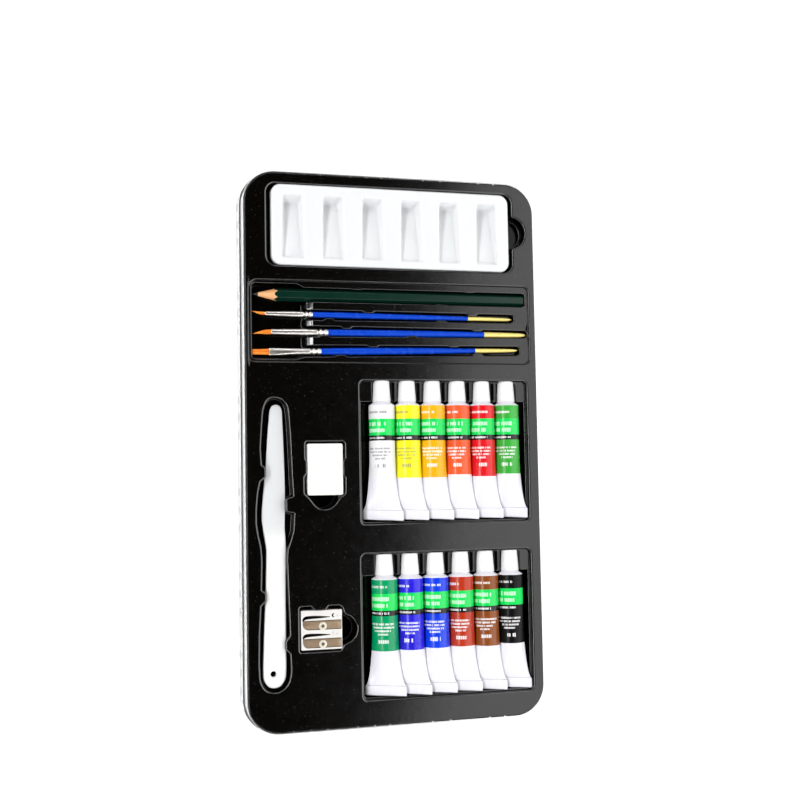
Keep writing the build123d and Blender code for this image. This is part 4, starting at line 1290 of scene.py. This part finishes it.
def build_tube(name, k, ytop, M, seed):
    b = Builder()
    x0 = -8.3 + 16.37 * k
    zc = ZF - 4.0
    roll = math.radians(11.0)
    rng = random.Random(seed)
    skew = (-0.05 if ytop > 0 else -0.066) + rng.uniform(-0.015, 0.015)
    n = 96
    ph = [rng.uniform(0, 6.28) for _ in range(8)]
    amp = [rng.uniform(0.5, 1.0) for _ in range(4)]

    def place(x, s, z, ramp=1.0):
        y = ytop - s + skew * x * max(0.0, min(1.0, (s - 50) / 34.0)) ** 1.4
        X = x * math.cos(roll) - z * math.sin(roll)
        Z = x * math.sin(roll) + z * math.cos(roll)
        return (x0 + X, y, zc + Z)

    def section(s):
        a, h, e = sec_at(s)
        out = []
        for i in range(n):
            t = 2 * math.pi * i / n
            c, sn = math.cos(t), math.sin(t)
            x = a * c
            z = math.copysign(h * max(0.0, 1 - c * c) ** e, sn)
            # soft dents of a filled, handled tube
            f = max(0.0, min(1.0, (s - 17) / 10)) * max(0.0, min(1.0, (79.5 - s) / 6))
            d = 0.10 * amp[0] * math.sin(0.13 * s + 2 * t + ph[0]) + 0.07 * amp[1] * math.sin(0.31 * s - 3 * t + ph[1])
            g = max(0.0, min(1.0, (s - 58) / 14)) * max(0.0, min(1.0, (79.5 - s) / 4))
            d += g * (0.13 * amp[2] * math.sin(1.1 * x + ph[2] + 0.12 * s) + 0.08 * math.sin(2.3 * x + ph[3]))
            d = -abs(d) * f
            z += d * sn
            x += d * c * (0.3 if h < a * 0.9 else 1.0)
            out.append((x, z))
        return out
    S = [13.0, 13.5, 13.9, 14.5, 14.95, 15.4, 15.9]
    s = 18.0
    while s < 79:
        S.append(s)
        s += 1.75
    S += [79.3, 79.75]
    for v in (23.4, 33.4, 36.8, 59.0):
        S.append(v)
    S = sorted(S)
    rings, secs = [], []
    for s in S:
        q = section(s)
        secs.append(q)
        rings.append(b.points([place(x, s, z) for x, z in q]))

    def u_of(i):
        # distance round the tube from the middle of the label
        t = 2 * math.pi * i / n
        return 8.0 * ((math.pi / 2 - t + math.pi) % (2 * math.pi) - math.pi)
    for j in range(len(S) - 1):
        for i in range(n):
            k2 = (i + 1) % n
            ua = 8.0 * (math.pi / 2 - 2 * math.pi * i / n)
            ub = 8.0 * (math.pi / 2 - 2 * math.pi * (i + 1) / n)
            if ua < -8.0 * math.pi + 1e-6:
                ua += 16 * math.pi
                ub += 16 * math.pi
            elif ub < -8.0 * math.pi - 1e-6:
                ua += 16 * math.pi
                ub += 16 * math.pi
            uv = [(ua / 100 + 0.5, S[j] / 100), (ua / 100 + 0.5, S[j + 1] / 100), (ub / 100 + 0.5, S[j + 1] / 100), (ub / 100 + 0.5, S[j] / 100)]
            b.face((rings[j][i], rings[j + 1][i], rings[j + 1][k2], rings[j][k2]), 0, uv)
    # neck inside the cap
    uvn = [(0.5, 0.135)] * 4
    neck = []
    for s, r in ((13.0, 4.28), (3.0, 4.28), (2.7, 4.0)):
        neck.append(b.points([place(r * math.cos(2 * math.pi * i / n), s, r * math.sin(2 * math.pi * i / n)) for i in range(n)]))
    for p, q in zip([rings[0]] + neck, neck):
        for i in range(n):
            k2 = (i + 1) % n
            b.face((p[k2], q[k2], q[i], p[i])[::-1] if False else (p[i], p[k2], q[k2], q[i]), 0, uvn)
    b.face(neck[-1], 0, [(0.5, 0.135)] * n)
    # flattened, folded foot: a short bar with a rolled edge and a fold line
    W = 12.5
    prof = ((79.62, 0.60), (79.9, 0.69), (80.6, 0.70), (82.0, 0.66), (83.6, 0.62), (84.7, 0.64), (85.2, 0.58), (85.45, 0.42), (85.6, 0.2))
    cols = 26
    top, low = [], []

    def bar(x, s, z):
        wv = 0.10 * math.sin(0.5 * x + ph[4]) + 0.06 * math.sin(1.3 * x + ph[5])
        return place(x, s, z + wv * min(1, max(0, (s - 79.7) / 2)))
    for s, h in prof:
        we = W - (0.25 if s > 85.3 else 0.0) - (0.2 if s < 79.9 else 0)
        xs = [-we + 2 * we * i / (cols - 1) for i in range(cols)]
        edge = [1 - 0.0 for x in xs]
        top.append(b.points([bar(x, s, h * (1 if 0 < i < cols - 1 else 0.45)) for i, x in enumerate(xs)]))
        low.append(b.points([bar(x, s, -h * (1 if 0 < i < cols - 1 else 0.45)) for i, x in enumerate(xs)]))
    uvf = lambda s: [(0.5, s / 100)] * 4
    for j in range(len(prof) - 1):
        for i in range(cols - 1):
            b.face((top[j][i], top[j + 1][i], top[j + 1][i + 1], top[j][i + 1]), 0, uvf(81))
            b.face((low[j][i], low[j][i + 1], low[j + 1][i + 1], low[j + 1][i]), 0, uvf(81))
        b.face((top[j][0], low[j][0], low[j + 1][0], top[j + 1][0]), 0, uvf(81))
        b.face((top[j][-1], top[j + 1][-1], low[j + 1][-1], low[j][-1]), 0, uvf(81))
    for i in range(cols - 1):
        b.face((top[-1][i], low[-1][i], low[-1][i + 1], top[-1][i + 1]), 0, uvf(81))
        b.face((top[0][i], top[0][i + 1], low[0][i + 1], low[0][i]), 0, uvf(81))
    b.face(rings[-1][::-1], 0, [(0.5, 0.81)] * n)
    ob = b.build("paint_tube_" + name, [M["tube_" + name]], "tube_" + name, ["tube_" + name])
    return ob


def build_cap(name, k, ytop, M):
    b = Builder()
    x0, zc = -8.3 + 16.37 * k, ZF - 4.0
    fl, per = 26, 6
    n = fl * per
    S = [(0.0, 0.0, 0), (0.0, 3.9, 0), (0.06, 4.35, 0), (0.22, 4.66, 0), (0.5, 4.84, 0), (0.95, 4.93, 0.3), (1.5, 4.96, 1), (4, 5.12, 1), (7, 5.31, 1), (10.0, 5.5, 1), (11.0, 5.55, 1), (11.35, 5.6, 0.3), (11.6, 5.63, 0), (12.7, 5.65, 0), (12.92, 5.58, 0), (13.0, 5.4, 0), (12.98, 4.7, 0), (12.6, 4.45, 0), (3.0, 4.45, 0), (2.45, 4.2, 0), (2.4, 0.0, 0)]
    rings = []
    for s, r, w in S:
        if r == 0:
            rings.append(b.points([(x0, ytop - s, zc)]))
            continue
        ring = []
        for i in range(n):
            t = 2 * math.pi * i / n
            ph = (i % per) / per
            q = r - w * 0.12 * (0.5 - 0.5 * math.cos(2 * math.pi * ph)) ** 2
            ring.append((x0 + q * math.cos(t), ytop - s, zc + q * math.sin(t)))
        rings.append(b.points(ring))
    for p, q in zip(rings, rings[1:]):
        for i in range(n):
            j = (i + 1) % n
            if len(p) == 1:
                b.face((p[0], q[i], q[j]), 0)
            elif len(q) == 1:
                b.face((p[j], p[i], q[0]), 0)
            else:
                b.face((p[i], q[i], q[j], p[j]), 0)
    return b.build("screw_cap_" + name, [M["cap"]], "cap_" + name, ["cap_" + name])


def greek_group():
    """A node group that draws one line of plain dashes in place of small print."""
    g = bpy.data.node_groups.new("print_line", "ShaderNodeTree")
    for nm in ("u", "v", "v0", "height", "u0", "width", "cell", "seed"):
        g.interface.new_socket(nm, in_out="INPUT", socket_type="NodeSocketFloat")
    g.interface.new_socket("mask", in_out="OUTPUT", socket_type="NodeSocketFloat")
    gi = g.nodes.new("NodeGroupInput")
    go = g.nodes.new("NodeGroupOutput")

    def m(op, *a):
        n = g.nodes.new("ShaderNodeMath")
        n.operation = op
        for s, v in zip(n.inputs, a):
            if isinstance(v, bpy.types.NodeSocket):
                g.links.new(v, s)
            else:
                s.default_value = v
        return n.outputs[0]
    I = gi.outputs
    c = m("ADD", m("DIVIDE", I["u"], I["cell"]), m("MULTIPLY", I["seed"], 13.37))
    fl = m("FLOOR", c)
    fr = m("SUBTRACT", c, fl)
    wn = g.nodes.new("ShaderNodeTexWhiteNoise")
    wn.noise_dimensions = "1D"
    g.links.new(fl, wn.inputs["W"])
    val = wn.outputs["Value"]
    keep = m("GREATER_THAN", val, 0.13)
    gap = m("LESS_THAN", fr, m("ADD", 0.66, m("MULTIPLY", val, 0.16)))
    tall = m("ADD", 0.40, m("MULTIPLY", m("GREATER_THAN", val, 0.8), 0.07))
    hh = m("MULTIPLY", I["height"], tall)
    dv = m("ABSOLUTE", m("SUBTRACT", I["v"], I["v0"]))
    vm = m("LESS_THAN", dv, hh)
    um = m("MULTIPLY", m("GREATER_THAN", I["u"], I["u0"]), m("LESS_THAN", I["u"], m("ADD", I["u0"], I["width"])))
    out = m("MULTIPLY", m("MULTIPLY", keep, gap), m("MULTIPLY", vm, um))
    g.links.new(out, go.inputs["mask"])
    return g


def mat_tube(name, col, ink, group, seed, end):
    k = NodeKit("tube_" + name)
    sep = k.node("ShaderNodeSeparateXYZ")
    uvn = k.node("ShaderNodeUVMap", uv_map="UVMap")
    k.t.links.new(uvn.outputs[0], sep.inputs[0])
    u = k.math("MULTIPLY", k.math("SUBTRACT", sep.outputs[0], 0.5), 100.0)
    v = k.math("MULTIPLY", sep.outputs[1], 100.0)
    wob = k.math("MULTIPLY", k.math("SUBTRACT", k.noise(30, 2, 0.5, k.obj), 0.5), 0.25)
    vb = k.math("ADD", v, wob)

    def band(a, c):
        return k.math("MULTIPLY", k.math("GREATER_THAN", vb, a), k.math("LESS_THAN", vb, c))
    white = (0.84, 0.83, 0.89, 1)
    f = k.mrange(k.noise(45, 3, 0.5, k.obj), 0.3, 0.7, 0, 1)
    paint = k.mix(f, tuple(c * 0.93 for c in col) + (1,), tuple(min(1, c * 1.05) for c in col) + (1,))
    c = k.mix(band(15.35, end), white, paint)
    c = k.mix(band(23.7, 33.8), c, (0.008, 0.70, 0.11, 1))
    c = k.mix(band(33.8, 37.0), c, (0.006, 0.006, 0.006, 1))
    rng = random.Random(seed)
    lines = [(19.6, 1.65, -10.9, rng.uniform(8.6, 14.5), 0.85, ink), (26.8, 2.7, -10.9, 13.2, 1.05, (0.80, 0.98, 0.84, 1)), (30.8, 2.7, -10.9, 12.2, 1.05, (0.80, 0.98, 0.84, 1)),
             (35.4, 1.35, -10.9, 13.0, 0.72, (0.9, 0.9, 0.9, 1))]
    y = 41.9
    for i in range(4):
        lines.append((y, 1.32, (-10.4, -9.6, -7.6, -5.2)[i] + rng.uniform(-0.5, 0.5), (15.6, 14.6, 11.6, 7.0)[i] * rng.uniform(0.92, 1.05), 0.55, ink))
        y += 2.05
    lines.append((52.4, 2.6, -4.6 + rng.uniform(-0.6, 0.6), 6.4, 1.1, ink))
    for i, (v0, h, u0, w, cell, colr) in enumerate(lines):
        n = k.node("ShaderNodeGroup")
        n.node_tree = group
        for nm, val in (("u", u), ("v", v), ("v0", v0), ("height", h), ("u0", u0), ("width", w), ("cell", cell), ("seed", seed + i * 1.7)):
            k.put(n.inputs[nm], val)
        c = k.mix(k.math("MULTIPLY", n.outputs[0], 0.8 if i in (1, 2) else 0.95), c, colr)
    rough = k.mrange(k.noise(120, 3, 0.5, k.obj), 0.3, 0.7, 0.2, 0.3)
    n2 = k.bump(k.noise(420, 3, 0.5, k.obj), 0.05, 0.0002)
    return k.set(color=c, rough=rough, normal=n2, spec=0.10 if name == "black" else 0.32)


# =====================================================================
# make everything
# =====================================================================
NAMES = (("white", "lemon_yellow", "deep_yellow", "orange_red", "red", "light_green"), ("emerald", "ultramarine", "blue", "red_brown", "brown", "black"))
W_ = (0.9, 0.9, 0.9, 1)
G_ = (0.28, 0.28, 0.28, 1)
COLS = {"white": ((0.86, 0.86, 0.87), G_), "lemon_yellow": ((0.93, 0.87, 0.015), (0.42, 0.4, 0.1, 1)), "deep_yellow": ((0.94, 0.46, 0.006), W_), "orange_red": ((0.84, 0.11, 0.028), W_),
        "red": ((0.74, 0.009, 0.016), W_), "light_green": ((0.045, 0.41, 0.045), W_), "emerald": ((0.0, 0.33, 0.12), W_), "ultramarine": ((0.022, 0.014, 0.66), W_), "blue": ((0.003, 0.05, 0.74), W_),
        "red_brown": ((0.48, 0.036, 0.010), W_), "brown": ((0.26, 0.066, 0.010), W_), "black": ((0.006, 0.006, 0.006), W_)}


def mat_bristle():
    k = NodeKit("bristle")
    st = k.noise(900, 3, 0.6, stretch(k, (0.05, 1, 1)))
    c = k.ramp(st, ((0.25, (0.66, 0.11, 0.006)), (0.5, (1.0, 0.27, 0.016)), (0.75, (1.0, 0.47, 0.08))))
    return k.set(color=c, rough=0.42, normal=k.bump(st, 0.15, 0.0002), spec=0.4)


def mat_cedar():
    k = NodeKit("cedar")
    st = k.noise(260, 5, 0.6, stretch(k, (0.08, 1, 1)))
    c = k.ramp(st, ((0.25, (0.62, 0.27, 0.10)), (0.55, (0.90, 0.46, 0.20)), (0.8, (0.97, 0.60, 0.32))))
    return k.set(color=c, rough=0.6, normal=k.bump(st, 0.25, 0.0002))


def mat_ferrule():
    k = NodeKit("ferrule")
    st = k.noise(500, 3, 0.5, stretch(k, (0.03, 1, 1)))
    c = k.mix(st, (0.68, 0.63, 0.58, 1), (0.97, 0.95, 0.92, 1))
    k.put(k.bsdf.inputs["Base Color"], c)
    return k.set(rough=k.mrange(st, 0.3, 0.7, 0.22, 0.31), metal=0.93, normal=k.bump(st, 0.06, 0.0001))


def mat_blade():
    k = NodeKit("blade_steel")
    st = k.noise(700, 4, 0.6, stretch(k, (0.04, 1, 1)))
    c = k.mix(k.mrange(st, 0.3, 0.7, 0, 1), (0.27, 0.185, 0.115, 1), (0.40, 0.29, 0.19, 1))
    return k.set(color=c, rough=k.mrange(st, 0.3, 0.7, 0.28, 0.4), metal=0.45, normal=k.bump(st, 0.1, 0.0001))


def mat_castmetal():
    k = NodeKit("sharpener_metal")
    g = k.noise(1500, 3, 0.6, k.obj)
    c = k.mix(k.mrange(k.noise(90, 3, 0.5, k.obj), 0.3, 0.7, 0, 1), (0.82, 0.80, 0.76, 1), (0.92, 0.90, 0.87, 1))
    return k.set(color=c, rough=k.mrange(g, 0.3, 0.7, 0.32, 0.48), metal=0.3, normal=k.bump(g, 0.15, 0.0001))


def soften(mat, weight, scale):
    """White plastic that light enters a little way."""
    n = mat.node_tree.nodes["Principled BSDF"]
    n.inputs["Subsurface Weight"].default_value = weight
    n.inputs["Subsurface Radius"].default_value = (1.0, 1.0, 1.0)
    n.inputs["Subsurface Scale"].default_value = scale
    return mat


GG = greek_group()
M = {
    "tray": mat_tray(),
    "tray_deep": mat_tray("tray_plastic_deep", 0.16),
    "tray_edge": mat_tray("tray_plastic_edge", 1.0),
    "palette": soften(mat_plain("palette_plastic", (0.825, 0.84, 0.85), 0.32, 0.004, 30, 0.01, 600), 0.7, 0.0022),
    "knife": mat_knife(),
    "eraser": mat_plain("eraser_rubber", (0.90, 0.885, 0.84), 0.7, 0.02, 90, 0.15, 1400, spec=0.3),
    "cap": mat_plain("cap_plastic", (0.86, 0.86, 0.86), 0.3, 0.015, 60, 0.03, 900),
    "pencil": mat_plain("pencil_lacquer", (0.0014, 0.021, 0.0125), 0.22, 0.10, 50, 0.02, 300, spec=0.24),
    "cedar": mat_cedar(),
    "lead": mat_plain("graphite", (0.022, 0.022, 0.024), 0.38, 0.2, 400, 0.15, 2000, metal=0.25),
    "blue": mat_plain("handle_blue", (0.0004, 0.056, 0.56), 0.26, 0.05, 50, 0.02, 300, spec=0.2),
    "gold": mat_plain("handle_gold", (0.95, 0.77, 0.22), 0.3, 0.06, 120, 0.05, 900, metal=0.15, coat=0.2),
    "ferrule": mat_ferrule(),
    "bristle": mat_bristle(),
    "tin": mat_tin(),
    "body": mat_castmetal(),
    "blade": mat_blade(),
    # near-black paint in the sharpener's slots, blade seats and first pencil-hole crescent: painted shade
    "hollow": mat_plain("hollow_painted_shade", (0.012, 0.010, 0.009), 0.6, 0.2, 200, 0.1, 900, spec=0.2),
    # dark brown paint in the screws' shallow dips: painted shade for the slots
    "screw_dark": mat_plain("screw_slot_painted_shade", (0.16, 0.10, 0.045), 0.4, 0.2, 400, 0.1, 1500, metal=0.3),
    "screw": mat_plain("screw_metal", (0.86, 0.82, 0.70), 0.28, 0.05, 400, 0.08, 1500, metal=0.35),
}
LABEL_END = (59.6, 59.9, 59.9, 58.3, 59.7, 58.3, 58.2, 58.3, 57.9, 57.8, 58.4, 57.6)
sd = 1
for row in NAMES:
    for nm in row:
        M["tube_" + nm] = mat_tube(nm, COLS[nm][0], COLS[nm][1], GG, sd * 3.1, LABEL_END[sd - 1])
        sd += 1

build_tray(M)
build_palette(M)
build_pencil(M)
for key in BR:
    build_brush(key, M)
build_knife(M)
build_eraser(M)
build_sharpener(M)
build_lid(M)
for r_, (row, yt) in enumerate(zip(NAMES, (41.1, -64.95))):
    for k_, nm in enumerate(row):
        build_tube(nm, k_, yt, M, 11 + r_ * 6 + k_)
        build_cap(nm, k_, yt, M)


def dress(node, mat):
    for ob in bpy.data.objects:
        if ob.type == "MESH" and (ob.name == node or ob.get("node") == node):
            if not ob.material_slots:
                ob.data.materials.append(mat)
            for s in ob.material_slots:
                s.material = mat


for nd, mt in (("tin_base", "tin"),):
    dress(nd, M[mt])

# =====================================================================
# floor, light, camera
# =====================================================================
def mat_floor():
    k = NodeKit("studio_floor")
    f = k.mrange(k.noise(3, 3, 0.5, k.obj), 0.3, 0.7, 0, 1)
    c = k.mix(f, (0.965, 0.965, 0.965, 1), (0.975, 0.975, 0.975, 1))
    k.put(k.bsdf.inputs["Base Color"], c)
    ln = k.node("ShaderNodeVectorMath", operation="LENGTH")
    k.t.links.new(k.obj, ln.inputs[0])
    g = k.mrange(ln.outputs["Value"], 0.75, 1.6, 0.0, 0.95)
    cb = k.node("ShaderNodeCombineColor")
    for i in range(3):
        k.t.links.new(g, cb.inputs[i])
    k.put(k.bsdf.inputs["Emission Color"], cb.outputs[0])
    k.bsdf.inputs["Emission Strength"].default_value = 1.0
    return k.set(rough=0.75, spec=0.2)


me = bpy.data.meshes.new("studio_floor")
me.from_pydata([(-4, -4, 0), (4, -4, 0), (4, 4, 0), (-4, 4, 0)], [], [(0, 1, 2, 3)])
me.materials.append(mat_floor())
floor = bpy.data.objects.new("studio_floor", me)
bpy.context.collection.objects.link(floor)


def area(name, loc, target, size, power, color=(1, 1, 1), spread=180):
    li = bpy.data.lights.new(name, "AREA")
    li.shape = "RECTANGLE"
    li.size, li.size_y = size
    li.energy = power
    li.color = color
    li.spread = math.radians(spread)
    ob = bpy.data.objects.new(name, li)
    ob.location = loc
    ob.rotation_euler = (Vector(target) - Vector(loc)).to_track_quat("-Z", "Y").to_euler()
    ob.visible_camera = False
    bpy.context.collection.objects.link(ob)
    return ob


area("left_strip", (-1.05, 0.05, 1.05), (0, 0, 0), (1.7, 0.28), 20)
area("right_panel", (1.12, -0.14, 1.0), (0.0, 0, 0.0), (2.1, 1.74), 28)
area("far_strip", (-0.3, 1.5, 1.1), (0, 0, 0), (1.8, 0.2), 9)
area("near_strip", (-0.3, -1.5, 1.1), (0, 0, 0), (1.8, 0.2), 9)

world = bpy.data.worlds.new("studio")
bpy.context.scene.world = world
world.use_nodes = True
wt = world.node_tree
bg = wt.nodes["Background"]
tc = wt.nodes.new("ShaderNodeTexCoord")
sp = wt.nodes.new("ShaderNodeSeparateXYZ")
wt.links.new(tc.outputs["Generated"], sp.inputs[0])
rp = wt.nodes.new("ShaderNodeValToRGB")
el = rp.color_ramp.elements
el[0].position, el[0].color = 0.0, (0.98, 0.98, 0.98, 1)
el[1].position, el[1].color = 0.8, (0.006, 0.006, 0.007, 1)
for pos, val in ((0.2, 0.85), (0.4, 0.45), (0.6, 0.12)):
    e2 = el.new(pos)
    e2.color = (val, val, val * 1.02, 1)
wt.links.new(sp.outputs[2], rp.inputs[0])
wt.links.new(rp.outputs[0], bg.inputs[0])
bg.inputs[1].default_value = 1.0

# camera at the photograph's viewing angle
q = (1208.6643008942435, 0.2841739478675792, -0.06802009696445724, 0.017382146635775485, -1.8739889656006894, -29.007599493290705, 742.1972649577374)
f_, yaw, pitch, roll_, tx, ty, tz = q


def rotm(yaw, pitch, roll):
    c, s = math.cos(yaw), math.sin(yaw)
    Ry = Matrix(((c, 0, s), (0, 1, 0), (-s, 0, c)))
    c, s = math.cos(pitch), math.sin(pitch)
    Rx = Matrix(((1, 0, 0), (0, c, -s), (0, s, c)))
    c, s = math.cos(roll), math.sin(roll)
    Rz = Matrix(((c, -s, 0), (s, c, 0), (0, 0, 1)))
    return Rz @ Rx @ Ry


Rm = rotm(yaw, pitch, roll_)
t_ = Vector((tx, ty, -tz))
loc = -(Rm.transposed() @ t_)
cam_data = bpy.data.cameras.new("camera")
cam_data.sensor_width = 36.0
cam_data.lens = f_ / 800.0 * 36.0
cam_data.clip_start = 0.01
cam = bpy.data.objects.new("camera", cam_data)
cam.matrix_world = Matrix.Translation(Vector((loc[0] * MM, loc[1] * MM, (loc[2] + ZF) * MM))) @ Rm.transposed().to_4x4()
bpy.context.collection.objects.link(cam)
bpy.context.scene.camera = cam
bpy.context.scene.view_settings.view_transform = "Standard"
